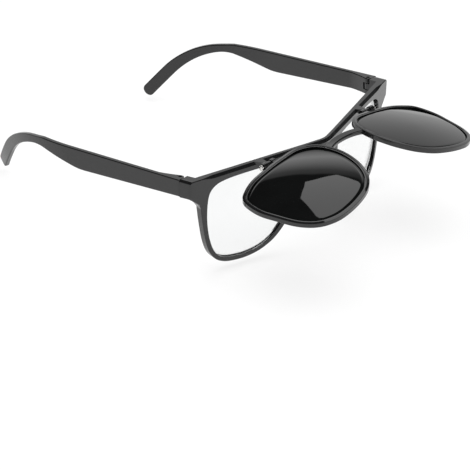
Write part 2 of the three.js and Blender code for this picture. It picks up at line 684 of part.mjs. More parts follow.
// Left piece as built and right piece mirrored
function pair(name, body, material) {
  return [piece(`${name}_left`, body, material), piece(`${name}_right`, mirrored(body), material)];
}

const front = piece('front_frame', frontFrame(), plastic);
const [templeLeft, templeRight] = pair('temple', temple(), plastic);

const flip = new THREE.Group();
flip.name = 'flip';
flip.position.set(0, hinge.y, hinge.z);
flip.rotation.x = -FLIP_RAISE;
flip.add(
  piece('flip_frame', flipFrame(), plastic),
  ...pair('dark_lens', darkLens(), darkGlass),
  ...pair('flip_screw', flipScrew(), steel),
);

const swings = [[templeLeft, 1], [templeRight, -1]].map(([mesh, side]) => {
  const swing = new THREE.Group();
  swing.name = `${mesh.name}_swing`;
  swing.position.set(side * pivot.x, pivot.y, 0);
  swing.add(mesh);
  return swing;
});

const worn = new THREE.Group();
worn.name = 'worn';
worn.add(
  front,
  ...pair('clear_lens', clearLens(), clearGlass),
  ...pair('temple_screw', templeScrew(), steel),
  ...swings,
  flip,
);

// Lowest corner of a mesh in the present attitude
function lowest(mesh) {
  const position = mesh.geometry.attributes.position;
  let found = null;
  for (let i = 0; i < position.count; i += 1) {
    const corner = new THREE.Vector3().fromBufferAttribute(position, i).applyMatrix4(mesh.matrixWorld);
    if (!found || corner.z < found.z) found = corner;
  }
  return found;
}

// Tilts the goggles back until the rims and the temple tips stand on one level
function standUp(group) {
  for (let i = 0; i < 6; i += 1) {
    group.updateMatrixWorld(true);
    const rim = lowest(front);
    const tip = lowest(templeLeft);
    group.rotation.x -= Math.atan2(tip.z - rim.z, tip.y - rim.y);
  }
}

standUp(worn);
const goggles = new THREE.Group();
goggles.name = 'flip_up_welding_goggles';
goggles.add(worn);
const box = new THREE.Box3().setFromObject(goggles, true);
worn.position.set(0, -(box.min.y + box.max.y) / 2, -box.min.z);
goggles.updateMatrixWorld(true);

export default goggles;
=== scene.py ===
"""Flip-up welding goggles: meshes, materials, studio and camera around the packed CAD frame.

Pieces are drawn in millimetres in the wearing attitude (X to the wearer's left, Y back to the ears,
Z up, the front facing -Y), and then moved into the frame in metres. The left side is drawn and the
right side mirrors it. Half a front is drawn flat: u from the centre line outwards, v up from the
top edge, w back from the front face.
"""

import json
from math import cos, pi, radians, sin, tan

import bmesh
import bpy
import numpy as np
from bpy.props import FloatProperty, FloatVectorProperty, PointerProperty
from mathutils import Matrix, Vector


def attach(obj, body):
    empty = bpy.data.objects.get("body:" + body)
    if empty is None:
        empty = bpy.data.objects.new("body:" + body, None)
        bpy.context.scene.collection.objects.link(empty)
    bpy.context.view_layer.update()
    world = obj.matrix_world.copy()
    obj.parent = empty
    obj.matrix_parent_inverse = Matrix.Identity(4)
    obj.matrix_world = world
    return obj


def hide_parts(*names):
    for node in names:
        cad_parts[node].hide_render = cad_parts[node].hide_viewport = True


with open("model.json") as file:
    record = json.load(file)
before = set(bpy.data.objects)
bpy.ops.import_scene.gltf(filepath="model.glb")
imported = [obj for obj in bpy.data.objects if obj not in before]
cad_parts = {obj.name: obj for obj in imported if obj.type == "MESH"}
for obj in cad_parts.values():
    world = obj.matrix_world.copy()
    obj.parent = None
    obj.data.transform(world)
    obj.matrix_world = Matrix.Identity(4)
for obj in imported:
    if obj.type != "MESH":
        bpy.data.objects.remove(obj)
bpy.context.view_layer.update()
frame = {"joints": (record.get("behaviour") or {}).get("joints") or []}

bl_info = {
    "name": "Flip-up welding goggles",
    "version": (1, 0, 0),
    "blender": (4, 5, 0),
    "location": "View3D > Sidebar > Goggles",
    "description": "Builds the goggles piece by piece around their CAD frame",
    "category": "Add Mesh",
}

MM = 0.001

# Fits and fine detail, in millimetres
GAP = 0.3
JOINT_GAP = 0.12
BORE_GAP = 0.25
FINE_EDGE = 0.15
GROOVE_DEPTH = 0.9
LENS_TONGUE = 0.6
GROOVE_HALF = LENS_TONGUE / 2 + GAP
THROUGH = 30
WELD = 2e-3
CUT_REACH = 1e-5

# Steps of the curves
CURVE_STEPS = 32
FILLET_STEPS = 4
LATHE_STEPS = 40
BORE_STEPS = 28
HALF_TURN_STEPS = 24

# Edges that turn more than these angles are broken, or shaded sharp
BROKEN_ABOVE = radians(60)
SHARP_ABOVE = radians(34)
NORMAL_WEIGHT = 80

# A lens opening and a flip rim as shares of width and height, clockwise from the front
LENS_SHARES = [
    (0.064, 0.018), (0.165, 0), (0.5, 0), (0.735, 0), (0.835, 0.01), (0.907, 0.033), (0.96, 0.084),
    (0.987, 0.16), (1, 0.36), (0.993, 0.52), (0.973, 0.67), (0.93, 0.83), (0.875, 0.92),
    (0.797, 0.972), (0.696, 0.995), (0.603, 1), (0.482, 0.978), (0.403, 0.938), (0.342, 0.89),
    (0.284, 0.82), (0.21, 0.7), (0.137, 0.55), (0.07, 0.385), (0.018, 0.235), (0, 0.135),
    (0.015, 0.06),
]
RIM_SHARES = [
    (1.003, 0.341), (0.98, 0.526), (0.929, 0.755), (0.837, 0.905), (0.701, 0.984), (0.554, 1),
    (0.394, 0.98), (0.26, 0.93), (0.147, 0.826), (0.068, 0.673), (0.026, 0.493), (0.024, 0.329),
    (0.075, 0.145),
    (0.2, 0.034), (0.385, 0.004), (0.58, 0), (0.732, 0.011), (0.856, 0.054), (0.958, 0.129),
]


# Properties

def length(name, description, millimetres):
    return FloatProperty(
        name=name, description=description, default=millimetres * MM, min=0.0, unit="LENGTH"
    )


def angle(name, description, degrees):
    return FloatProperty(
        name=name, description=description, default=radians(degrees), subtype="ANGLE"
    )


def share(name, description, value):
    return FloatProperty(
        name=name, description=description, default=value, min=0.0, max=1.0, subtype="FACTOR"
    )


def colour(name, description, value):
    return FloatVectorProperty(
        name=name, description=description, default=value, size=3, min=0.0, max=1.0, subtype="COLOR"
    )


class FrontSizes(bpy.types.PropertyGroup):
    """Sizes of the front frame with its endpieces, nose pads, hinge tabs and hinge leaves"""

    half_width: length("Half width", "Centre to the outer face of an endpiece", 72.5)
    wrap: angle("Wrap", "How far each half turns back", 15.4)
    tilt: angle("Tilt", "How far the rims lean back towards the cheeks", 4.1)
    depth: length("Depth", "Front face to back face", 3.4)
    edge: length("Edge", "Rounding of the edges", 0.4)
    brow: length("Brow height", "Top edge to the top of a lens opening", 3.4)
    thinning: length("Brow thinning", "Depth that the top edge has lost at the bridge", 0.9)
    lens_width: length("Lens width", "Width of a lens opening", 53.9)
    lens_height: length("Lens height", "Height of a lens opening", 39.3)
    lens_nose: length("Lens to nose", "Centre line to the nose side of a lens opening", 12.0)
    rim: length("Rim", "Width of the rim under a lens", 2.06)
    nose_rim: length("Nose rim", "Width of the rim beside the nose", 2.6)
    side: length("Side", "Width of the rim under an endpiece", 5.0)
    side_taper: length("Side taper", "Top edge down to where the side has narrowed", 28.0)
    bridge: length("Bridge height", "Top edge to the underside of the bridge", 6.6)
    bridge_bend: length("Bridge bend", "Half the run over which the bridge bends", 3.5)
    endpiece: length("Endpiece height", "Height of the face that meets a temple", 8.0)
    endpiece_width: length("Endpiece width", "Width of the face that meets a temple", 5.6)
    endpiece_return: length("Endpiece return", "Front corner back to the temple joint", 6.0)
    slope_drop: length("Slope drop", "Height of the slope along the top of the brow", 1.25)
    slope_depth: length("Slope depth", "Front to back of the slope along the top of the brow", 1.15)
    corner: length("Corner", "Chamfer round the front face elsewhere", 0.3)
    seat: length("Lens seat", "Front face to the middle of a lens groove", 2.1)
    pad_length: length("Pad length", "Length of a nose pad", 15.0)
    pad_width: length("Pad width", "Width of a nose pad", 3.6)
    pad_reach: length("Pad reach", "How far a nose pad stands behind the rim", 3.4)
    pad_drop: length("Pad drop", "Top edge down to the middle of a nose pad", 20.0)


class HingeSizes(bpy.types.PropertyGroup):
    """Sizes of the two flip hinges and the two temple hinges"""

    offset: length("Offset", "Centre line to the middle knuckle of a flip hinge", 36.4)
    ahead: length("Ahead", "Flip hinge axis ahead of the front face", 4.2)
    drop: length("Drop", "Flip hinge axis under the top edge", 0.8)
    radius: length("Knuckle radius", "Outer knuckles, on the flip front", 1.7)
    tab_radius: length("Tab radius", "Middle knuckle, on the frame's tab", 1.4)
    tab_width: length("Tab width", "Width of the tab and its knuckle", 2.4)
    tab_flare: length("Tab flare", "How far the tab widens where it leaves the brow", 1.3)
    tab_thickness: length("Tab thickness", "Thickness of the tab", 1.8)
    knuckle_width: length("Knuckle width", "Width of an outer knuckle", 2.6)
    screw_radius: length("Screw radius", "Shank of a screw", 0.6)
    head_radius: length("Head radius", "Head of a flip hinge screw", 1.25)
    head_height: length("Head height", "Head of a flip hinge screw", 1.1)
    pivot_inset: length("Pivot inset", "Temple's outer face to its hinge axis", 3.6)
    pivot_behind: length("Pivot behind", "Endpiece to the temple's hinge axis", 2.2)
    pivot_radius: length("Pivot radius", "Knuckles of a temple hinge", 1.6)
    pivot_head_radius: length("Pivot head radius", "Head of a temple screw", 1.2)
    pivot_head_height: length("Pivot head height", "Head of a temple screw", 0.6)
    leaf_top: length("Leaf top", "Top edge down to the endpiece's leaf", 2.6)
    leaf_height: length("Leaf height", "Height of the endpiece's leaf", 2.8)
    boss_length: length("Boss length", "The temple's inner side swells over this length", 13.0)
    boss_drop: length("Boss drop", "Top edge down to the end of the screw's stack", 0.15)
    slot_width: length("Slot width", "Width of a screw's slot", 0.5)
    slot_depth: length("Slot depth", "Depth of a screw's slot", 0.4)


class FlipSizes(bpy.types.PropertyGroup):
    """Sizes of the flip front"""

    wrap: angle("Wrap", "How far each half turns back", 10.4)
    raised: angle("Raised", "How far the flip front is raised from closed", 81.0)
    width: length("Width", "Outside width of one rim", 56.9)
    height: length("Height", "Outside height of one rim", 45.9)
    nose: length("Rim to nose", "Centre line to the nose side of a rim", 9.9)
    drop: length("Drop", "Hinge axis down to the top of a rim", 1.7)
    depth: length("Depth", "Front to back of a rim", 2.4)
    ahead: length("Ahead", "Front of the rim ahead of the hinge axis", 1.4)
    rim: length("Rim", "Width of the rim", 1.9)
    bridge_drop: length("Bridge drop", "Hinge axis down to the top of the arch", 9.9)
    bridge_rise: length("Bridge rise", "Rise of the arch", 2.6)
    bridge_height: length("Bridge height", "Height of the bar", 3.6)
    bridge_depth: length("Bridge depth", "Front to back of the bar", 2.2)


class LensSizes(bpy.types.PropertyGroup):
    """Thickness and bulge of the lenses"""

    clear_thickness: length("Clear thickness", "Thickness of a clear lens", 1.8)
    clear_dome: length("Clear dome", "Bulge of a clear lens", 1.2)
    dark_thickness: length("Dark thickness", "Thickness of a dark lens", 1.6)
    dark_dome: length("Dark dome", "Bulge of a dark lens", 1.7)


class TempleSizes(bpy.types.PropertyGroup):
    """Sizes of a temple"""

    thickness: length("Thickness", "Inner face to outer face", 2.4)
    edge: length("Edge", "Rounding of the long edges", 0.55)
    joint_height: length("Joint height", "Height at the endpiece", 7.8)
    break_height: length("Break height", "Tallest place, where the lower edge breaks", 9.4)
    break_at: length("Break", "Joint to the tallest place", 57.7)
    neck_height: length("Neck height", "Height over the ear", 3.5)
    neck_at: length("Neck", "Joint to the neck", 84.4)
    tip_height: length("Tip height", "Height at the tip", 5.8)
    tip_round: length("Tip rounding", "Length of the rounded end", 2.5)
    converge: angle("Converge", "How far a temple leans in", 1.15)
    ear_bend: length("Ear bend", "Joint to the start of the downward bend", 79.6)
    ear_radius: length("Ear radius", "Radius of the downward bend", 46.4)
    ear_drop: angle("Ear drop", "Slope of the tip", 45.7)
    ear_straight: length("Ear straight", "End of the bend to the rounding of the tip", 13.7)
    wrap_bend: length("Wrap bend", "Joint to the start of the inward bend", 63.3)
    wrap_radius: length("Wrap radius", "Radius of the inward bend", 101.3)
    wrap_turn: share("Wrap turn", "How much of the inward bend the faces turn with", 0.45)


class Finishes(bpy.types.PropertyGroup):
    """Colours and gloss of the materials"""

    plastic: colour("Plastic", "Moulded black plastic", (0.0062, 0.0062, 0.0065))
    plastic_gloss: share("Plastic roughness", "Roughness of the moulded faces", 0.05)
    dark_lens: colour("Dark lens", "Near-black filter", (0.0028, 0.003, 0.003))
    dark_gloss: share("Dark lens roughness", "Roughness of the polished filter", 0.022)
    clear_lens: colour("Clear lens", "Tint of the clear lens", (0.905, 0.912, 0.912))
    steel: colour("Steel", "Screw heads", (0.78, 0.77, 0.75))


class StageSizes(bpy.types.PropertyGroup):
    """Floor and camera lens of the stage"""

    floor: colour("Floor", "Seamless floor", (0.9, 0.9, 0.9))
    floor_radius: length("Floor radius", "Size of the floor", 3000.0)
    floor_drop: length(
        "Floor drop", "Depth of the floor under the rims, where the closed flip front ends", 2.9
    )
    lens: FloatProperty(
        name="Lens", description="Focal length in millimetres on 36 mm", default=229.92
    )


GROUPS = {
    "goggles_front": FrontSizes,
    "goggles_hinges": HingeSizes,
    "goggles_flip": FlipSizes,
    "goggles_lenses": LensSizes,
    "goggles_temples": TempleSizes,
    "goggles_finish": Finishes,
    "goggles_stage": StageSizes,
}


class Millimetres:
    """Reads a property group's lengths in millimetres and its other values as they are"""

    def __init__(self, group):
        self.group = group

    def __getattr__(self, name):
        value = getattr(self.group, name)
        kind = self.group.bl_rna.properties[name]
        return value / MM if kind.unit == "LENGTH" else value


def sizes(name):
    return Millimetres(getattr(bpy.context.scene, name))


# Outlines

def smooth_loop(shares, left, width, top, height, count, soften):
    """Closed centripetal curve through the shares, in even steps, with its wiggles evened out."""
    knots = np.array([(left + u * width, top - v * height) for u, v in shares])
    total = len(knots)
    dense = []
    for i in range(total):
        p0, p1, p2, p3 = (knots[(i + k) % total] for k in (-1, 0, 1, 2))
        t0, t1, t2 = (np.sqrt(np.linalg.norm(b - a)) for a, b in ((p0, p1), (p1, p2), (p2, p3)))
        m1 = ((p1 - p0) / t0 - (p2 - p0) / (t0 + t1) + (p2 - p1) / t1) * t1
        m2 = ((p2 - p1) / t1 - (p3 - p1) / (t1 + t2) + (p3 - p2) / t2) * t1
        square, cube = 3 * (p2 - p1) - 2 * m1 - m2, 2 * (p1 - p2) + m1 + m2
        for t in np.arange(0, 1, 1 / CURVE_STEPS):
            dense.append(p1 + t * m1 + t * t * square + t ** 3 * cube)
    loop = even_steps(np.array(dense), count)
    step = np.linalg.norm(loop[1] - loop[0])
    reach = np.arange(-count // 2, count - count // 2)
    weights = np.exp(-0.5 * (reach * step / soften) ** 2)
    weights = np.fft.fft(np.fft.ifftshift(weights / weights.sum()))

    def blurred(points):
        axes = [np.fft.ifft(np.fft.fft(points[:, k]) * weights).real for k in (0, 1)]
        return np.stack(axes, axis=1)

    once = blurred(loop)
    return 2 * once - blurred(once)


def even_steps(loop, count, closed=True):
    """Points at equal distances along a loop or an open path."""
    points = np.vstack([loop, loop[:1]]) if closed else loop
    run = np.concatenate([[0], np.cumsum(np.linalg.norm(np.diff(points, axis=0), axis=1))])
    wanted = np.linspace(0, run[-1], count, endpoint=not closed)
    return np.stack([np.interp(wanted, run, points[:, k]) for k in range(points.shape[1])], axis=1)


def outward(loop):
    """Unit normals of a clockwise closed loop, pointing out."""
    along = np.roll(loop, -1, axis=0) - np.roll(loop, 1, axis=0)
    along /= np.linalg.norm(along, axis=1)[:, None]
    return np.stack([-along[:, 1], along[:, 0]], axis=1)


def offset(loop, distance):
    return loop + outward(loop) * distance


def filleted(corners):
    """Closed polygon whose corners (x, y, radius) are rounded by arcs of a few steps."""
    points = []
    total = len(corners)
    for i, (x, y, radius) in enumerate(corners):
        here = np.array([x, y])
        if radius <= 0:
            points.append(here)
            continue
        before = np.array(corners[i - 1][:2]) - here
        after = np.array(corners[(i + 1) % total][:2]) - here
        before /= np.linalg.norm(before)
        after /= np.linalg.norm(after)
        half = np.arccos(np.clip(before @ after, -1, 1)) / 2
        reach = radius / np.tan(half)
        middle = here + (before + after) / np.linalg.norm(before + after) * radius / np.sin(half)
        start, end = here + before * reach - middle, here + after * reach - middle
        sweep = pi - 2 * half
        for t in np.linspace(0, 1, FILLET_STEPS + 1):
            swung = start * np.sin((1 - t) * sweep) + end * np.sin(t * sweep)
            points.append(middle + swung / np.sin(sweep))
    return np.array(points)


def ramp(x, start, end):
    """Smooth rise from 0 at the start to 1 at the end."""
    t = np.clip((np.asarray(x, float) - start) / (end - start), 0, 1)
    return t * t * (3 - 2 * t)


def turned(points, axis, by):
    return points @ np.array(Matrix.Rotation(by, 3, axis)).T


# Meshes

def made_mesh(points, faces):
    """Mesh with its normals pointing out."""
    mesh = bpy.data.meshes.new("draft")
    mesh.from_pydata([tuple(p) for p in points], [], faces)
    shell = bmesh.new()
    shell.from_mesh(mesh)
    bmesh.ops.recalc_face_normals(shell, faces=shell.faces)
    shell.to_mesh(mesh)
    shell.free()
    return mesh


def loft(loops, ring=False):
    """Quads between loops of equal length; open ends are capped."""
    loops = [np.asarray(loop) for loop in loops]
    count = len(loops[0])
    faces = []
    for i in range(len(loops) if ring else len(loops) - 1):
        a, b = i * count, (i + 1) % len(loops) * count
        faces += [(a + j, a + (j + 1) % count, b + (j + 1) % count, b + j) for j in range(count)]
    if not ring:
        last = (len(loops) - 1) * count
        faces += [tuple(range(count)), tuple(range(last, last + count))]
    return made_mesh(np.vstack(loops), faces)


def prism(outline, place, low, high, edge=0.0):
    """Closed body of an outline between two levels, with its end edges broken.

    The place function turns an outline and a level into points.
    """
    mesh = loft([place(outline, low), place(outline, high)])
    if edge:
        body = bmesh.new()
        body.from_mesh(mesh)
        caps = [f for f in body.faces if len(f.verts) > 4 or len(outline) == 4]
        rims = {e for f in caps for e in f.edges if e.calc_face_angle(0) > BROKEN_ABOVE}
        bmesh.ops.bevel(
            body, geom=list(rims), offset=edge, segments=2, profile=0.5, affect="EDGES"
        )
        body.to_mesh(mesh)
        body.free()
    return mesh


def from_top(outline, level):
    return np.column_stack([outline, np.full(len(outline), level)])


def from_side(outline, level):
    return np.column_stack([np.full(len(outline), level), outline])


def from_front(outline, level):
    return np.column_stack([outline[:, 0], np.full(len(outline), level), outline[:, 1]])


def disc(radius, x=0.0, y=0.0, count=36):
    turn = np.linspace(0, 2 * pi, count, endpoint=False)
    return np.column_stack([x + radius * np.cos(turn), y + radius * np.sin(turn)])


def lathed(profile):
    """Body turned round Z from (radius, height) points that start and end on the axis."""
    count = LATHE_STEPS
    rings = [from_top(disc(r, count=count), z) for r, z in profile[1:-1]]
    points = np.vstack([[(0, 0, profile[0][1])], *rings, [(0, 0, profile[-1][1])]])
    faces = []
    last = len(points) - 1
    for j in range(count):
        k = (j + 1) % count
        faces.append((0, 1 + k, 1 + j))
        for i in range(len(rings) - 1):
            a, b = 1 + i * count, 1 + (i + 1) * count
            faces.append((a + j, a + k, b + k, b + j))
        faces.append((last, last - count + j, last - count + k))
    return made_mesh(points, faces)


def moved(mesh, change):
    """Applies a function of the points to a mesh."""
    points = np.empty(len(mesh.vertices) * 3)
    mesh.vertices.foreach_get("co", points)
    mesh.vertices.foreach_set("co", change(points.reshape(-1, 3)).ravel())
    mesh.update()
    return mesh


def mirrored(mesh):
    twin = mesh.copy()
    moved(twin, lambda p: p * (-1, 1, 1))
    twin.flip_normals()
    return twin


def both_sides(mesh):
    """The drawn left side and its mirrored twin, each after the name of its side."""
    return ("left", mesh), ("right", mirrored(mesh))


def carved(base, unions=(), cuts=()):
    """One closed mesh: base with the unions added and the cuts taken away."""
    scene = bpy.context.scene.collection
    main = bpy.data.objects.new("carving", base)
    scene.objects.link(main)
    tools = []
    for operation, meshes in (("UNION", unions), ("DIFFERENCE", cuts)):
        for mesh in meshes:
            tool = bpy.data.objects.new("tool", mesh)
            scene.objects.link(tool)
            tools.append(tool)
            step = main.modifiers.new(operation.lower(), "BOOLEAN")
            step.operation = operation
            step.object = tool
            step.solver = "EXACT"
    seen = main.evaluated_get(bpy.context.evaluated_depsgraph_get())
    result = bpy.data.meshes.new_from_object(seen)
    for item in [main, *tools]:
        bpy.data.objects.remove(item)
    body = bmesh.new()
    body.from_mesh(result)
    bmesh.ops.remove_doubles(body, verts=body.verts, dist=WELD)
    bmesh.ops.dissolve_degenerate(body, edges=body.edges, dist=WELD / 2)
    open_edges = [e for e in body.edges if not e.is_manifold]
    body.to_mesh(result)
    body.free()
    result["open_edges"] = len(open_edges)
    return result


# Places in the frame

# Depth under the top edge over which the back of the front comes to lean with its face
LEAN_RUN = (9, 20)


def standing():
    """Turn and shift from the wearing attitude to the frame, read from the joints' axes."""
    joints = {j["name"]: j for j in frame["joints"]}
    up = Vector(joints["temple_fold_left"]["axis"]).normalized()
    across = Vector((1, 0, 0))
    turn = Matrix((across, up.cross(across), up)).transposed()
    shift = Vector(joints["flip_up"]["pos_m"]) - turn @ (Vector(flip_axis()) * MM)
    return np.array(turn), np.array(shift)


def to_frame(points):
    turn, shift = standing()
    return points * MM @ turn.T + shift


def front_at(x):
    """Depth of the wrapped front face at a distance from the centre line."""
    return x * tan(sizes("goggles_front").wrap)


def flip_axis():
    """Middle of the flip front's hinge axis."""
    hinge = sizes("goggles_hinges")
    return 0.0, front_at(hinge.offset) - hinge.ahead, -hinge.drop


def butt_face():
    """Depth of the face of an endpiece that meets a temple."""
    front = sizes("goggles_front")
    return front_at(front.half_width) + front.endpiece_return


def pivot():
    """Place of the left temple's hinge axis."""
    hinge = sizes("goggles_hinges")
    across = sizes("goggles_front").half_width - hinge.pivot_inset
    return across, butt_face() + hinge.pivot_behind


def raised(points):
    """Flip front, drawn closed round its hinge axis, turned up and set on the frame's hinges."""
    return turned(points, "X", -sizes("goggles_flip").raised) + flip_axis()


def bent_front(points):
    """Half a front, drawn flat as (u, w, v), leaned, wrapped and bent smoothly at the bridge."""
    u, w, v = points.T
    front = sizes("goggles_front")
    lean = ramp(-v, *LEAN_RUN)
    depth = w * cos(front.tilt) - v * sin(front.tilt)
    height = w * sin(front.tilt) * lean + v * cos(front.tilt)
    radius = front.bridge_bend / tan(front.wrap)
    heading = np.clip(u / front.bridge_bend, -1, 1) * front.wrap
    straight = u > front.bridge_bend
    arc = radius / cos(front.wrap) - radius * np.cos(heading)
    x = np.where(straight, u * cos(front.wrap), radius * np.sin(heading))
    y = np.where(straight, u * sin(front.wrap), arc)
    return np.column_stack([x - depth * np.sin(heading), y + depth * np.cos(heading), height])


def turned_flip(points):
    """Flat half of the flip front turned back about its hinge's middle knuckle."""
    flip = sizes("goggles_flip")
    reach = sizes("goggles_hinges").offset
    drawn = points - (reach / cos(flip.wrap), flip.ahead, 0)
    return turned(drawn, "Z", flip.wrap) + (reach, 0, 0)


# Finished pieces

def finished(mesh, name, body, nodes, material):
    """Piece of a mesh drawn in millimetres, riding on a body and standing for its CAD nodes."""
    moved(mesh, to_frame)
    if mesh.get("open_edges"):
        raise RuntimeError(f"{name} isn't closed: {mesh['open_edges']} open edges")
    mesh.name = name
    mesh.materials.clear()
    mesh.materials.append(material)
    mesh.shade_smooth()
    mesh.set_sharp_from_angle(angle=SHARP_ABOVE)
    piece = bpy.data.objects.new(name, mesh)
    bpy.context.scene.collection.objects.link(piece)
    normals = piece.modifiers.new("Even shading", "WEIGHTED_NORMAL")
    normals.keep_sharp = True
    normals.weight = NORMAL_WEIGHT
    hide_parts(*nodes)
    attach(piece, body)


# Materials

# Part of a noise's range that its colours and its gloss are spread over
TINT_RANGE = (0.32, 0.68)
GLOSS_RANGE = (0.3, 0.7)
NOISE_DETAIL = 3.0
NOISE_ROUGHNESS = 0.55


def node_material(name):
    """A material and, when it's new, its node tree and shader."""
    material = bpy.data.materials.get(name)
    if material:
        return material, None, None
    material = bpy.data.materials.new(name)
    material.use_nodes = True
    tree = material.node_tree
    return material, tree, tree.nodes["Principled BSDF"]


def noise(tree, scale, detail=NOISE_DETAIL):
    where = tree.nodes.new("ShaderNodeTexCoord")
    node = tree.nodes.new("ShaderNodeTexNoise")
    node.inputs["Scale"].default_value = scale
    node.inputs["Detail"].default_value = detail
    node.inputs["Roughness"].default_value = NOISE_ROUGHNESS
    tree.links.new(where.outputs["Object"], node.inputs["Vector"])
    return node.outputs["Fac"]


def tinted(tree, shader, base, scale, dark, light=1.0):
    """Base colour that drifts between a darker and a lighter share of a colour."""
    node = tree.nodes.new("ShaderNodeValToRGB")
    for stop, place, part in zip(node.color_ramp.elements, TINT_RANGE, (dark, light)):
        stop.position = place
        stop.color = (*(np.array(base) * part), 1)
    tree.links.new(noise(tree, scale), node.inputs["Fac"])
    tree.links.new(node.outputs["Color"], shader.inputs["Base Color"])


def polished(tree, shader, scale, detail, low, high):
    """Roughness that drifts between two values."""
    node = tree.nodes.new("ShaderNodeMapRange")
    node.inputs["From Min"].default_value, node.inputs["From Max"].default_value = GLOSS_RANGE
    node.inputs["To Min"].default_value = low
    node.inputs["To Max"].default_value = high
    tree.links.new(noise(tree, scale, detail), node.inputs["Value"])
    tree.links.new(node.outputs["Result"], shader.inputs["Roughness"])


def bumped(tree, shader, scale, detail, height):
    """Fine relief of a height in millimetres."""
    node = tree.nodes.new("ShaderNodeBump")
    node.inputs["Strength"].default_value = 1.0
    node.inputs["Distance"].default_value = height * MM
    tree.links.new(noise(tree, scale, detail), node.inputs["Height"])
    tree.links.new(node.outputs["Normal"], shader.inputs["Normal"])


def mixed(tree, factor, first, second):
    """First shader where the factor is 0, second where it is 1."""
    node = tree.nodes.new("ShaderNodeMixShader")
    for socket, index in ((factor, 0), (first, 1), (second, 2)):
        tree.links.new(socket, node.inputs[index])
    return node.outputs["Shader"]


def black_plastic():
    """Glossy injection-moulded black plastic with a fine orange peel and faint rubbed patches."""
    material, tree, shader = node_material("black_plastic_moulded")
    if tree:
        finish = bpy.context.scene.goggles_finish
        gloss = finish.plastic_gloss
        tinted(tree, shader, finish.plastic, scale=130, dark=0.85, light=1.18)
        polished(tree, shader, scale=420, detail=4, low=gloss - 0.015, high=gloss + 0.02)
        bumped(tree, shader, scale=900, detail=2, height=0.0006)
        shader.inputs["IOR"].default_value = 1.56
    return material


def dark_filter():
    """Near-black polished filter with a very slight ripple."""
    material, tree, shader = node_material("dark_filter_polished")
    if tree:
        finish = bpy.context.scene.goggles_finish
        gloss = finish.dark_gloss
        tinted(tree, shader, finish.dark_lens, scale=60, dark=0.8, light=1.2)
        polished(tree, shader, scale=240, detail=5, low=gloss - 0.008, high=gloss + 0.01)
        bumped(tree, shader, scale=30, detail=1, height=0.0003)
        shader.inputs["IOR"].default_value = 1.5
    return material


def clear_lens():
    """Clear polished lens that lets lamps through."""
    material, tree, shader = node_material("clear_lens_polished")
    if tree:
        tinted(tree, shader, bpy.context.scene.goggles_finish.clear_lens, scale=50, dark=0.985)
        polished(tree, shader, scale=200, detail=4, low=0.01, high=0.03)
        shader.inputs["Transmission Weight"].default_value = 1.0
        shader.inputs["IOR"].default_value = 1.49
        through = tree.nodes.new("ShaderNodeBsdfTransparent")
        through.inputs["Color"].default_value = (0.97, 0.975, 0.975, 1)
        path = tree.nodes.new("ShaderNodeLightPath")
        lens = mixed(
            tree, path.outputs["Is Shadow Ray"], shader.outputs["BSDF"], through.outputs["BSDF"]
        )
        tree.links.new(lens, tree.nodes["Material Output"].inputs["Surface"])
    return material


def screw_steel():
    """Bright turned steel with fine tool marks."""
    material, tree, shader = node_material("screw_steel_bright")
    if tree:
        tinted(tree, shader, bpy.context.scene.goggles_finish.steel, scale=900, dark=0.88)
        polished(tree, shader, scale=1500, detail=4, low=0.16, high=0.3)
        bumped(tree, shader, scale=5200, detail=2, height=0.004)
        shader.inputs["Metallic"].default_value = 1.0
    return material


# Front frame

LENS_COUNT = 720
LENS_STATIONS = 240
LENS_SOFTEN = 1.1
FLIP_SOFTEN = 1.6

# Run, in shares of the lens width, over which the rim narrows away from the nose
RIM_BLEND = (0.15, 0.5)

# Places on a lens opening, as its shares, where the outer outline changes, and stations from each
OUTLINE_MARKS = (
    (0.015, 0.06), (0.165, 0), (0.735, 0), (0.907, 0.033),
    (0.987, 0.16), (0.997, 0.267), (0.02, 0.245), (0, 0.135),
)
OUTLINE_COUNTS = (16, 36, 24, 14, 10, 104, 18, 10)

# Outer outline of half a front, in millimetres: how far it passes the centre line, the rounding of
# the endpiece's upper corner, its broken lower corner (inwards, up), the corner (u, v, rounding)
# where the rim leaves it, and the lip at its lower edge
PAST_CENTRE = 4.0
END_CORNER = 1.4
END_CORNER_STEPS = 8
END_BREAK = ((0, 0.5), (0.15, 0.12), (0.5, -0.2))
END_FOOT = (70.0, -12.1, 1.2)
END_LIP = 0.1

# Distances from the centre line over which the slope along the brow runs out, and the top edge
# comes to its full depth. Points as near the top as the last value belong to the brow.
SLOPE_RUN_OUT = (62, 69)
THINNING_RUN = (12, 66.6)
TOP_EDGE = 0.01

# Stations past the endpiece's upper corner before its outer face is flat
FACE_START = 4


def lens_opening(count=LENS_COUNT):
    front = sizes("goggles_front")
    return smooth_loop(
        LENS_SHARES, front.lens_nose, front.lens_width, -front.brow, front.lens_height,
        count, LENS_SOFTEN,
    )


def rim_width(point):
    """Wide beside the nose, narrow under the lens, growing up the temple side to the endpiece."""
    front = sizes("goggles_front")
    along = (point[0] - front.lens_nose) / front.lens_width
    width = front.nose_rim + (front.rim - front.nose_rim) * ramp(along, *RIM_BLEND)
    if along > RIM_BLEND[1]:
        taper = front.side_taper
        grown = np.clip((point[1] + taper) / (taper - front.endpiece), 0, 1)
        width += (front.side - front.rim) * grown ** 2
    return width


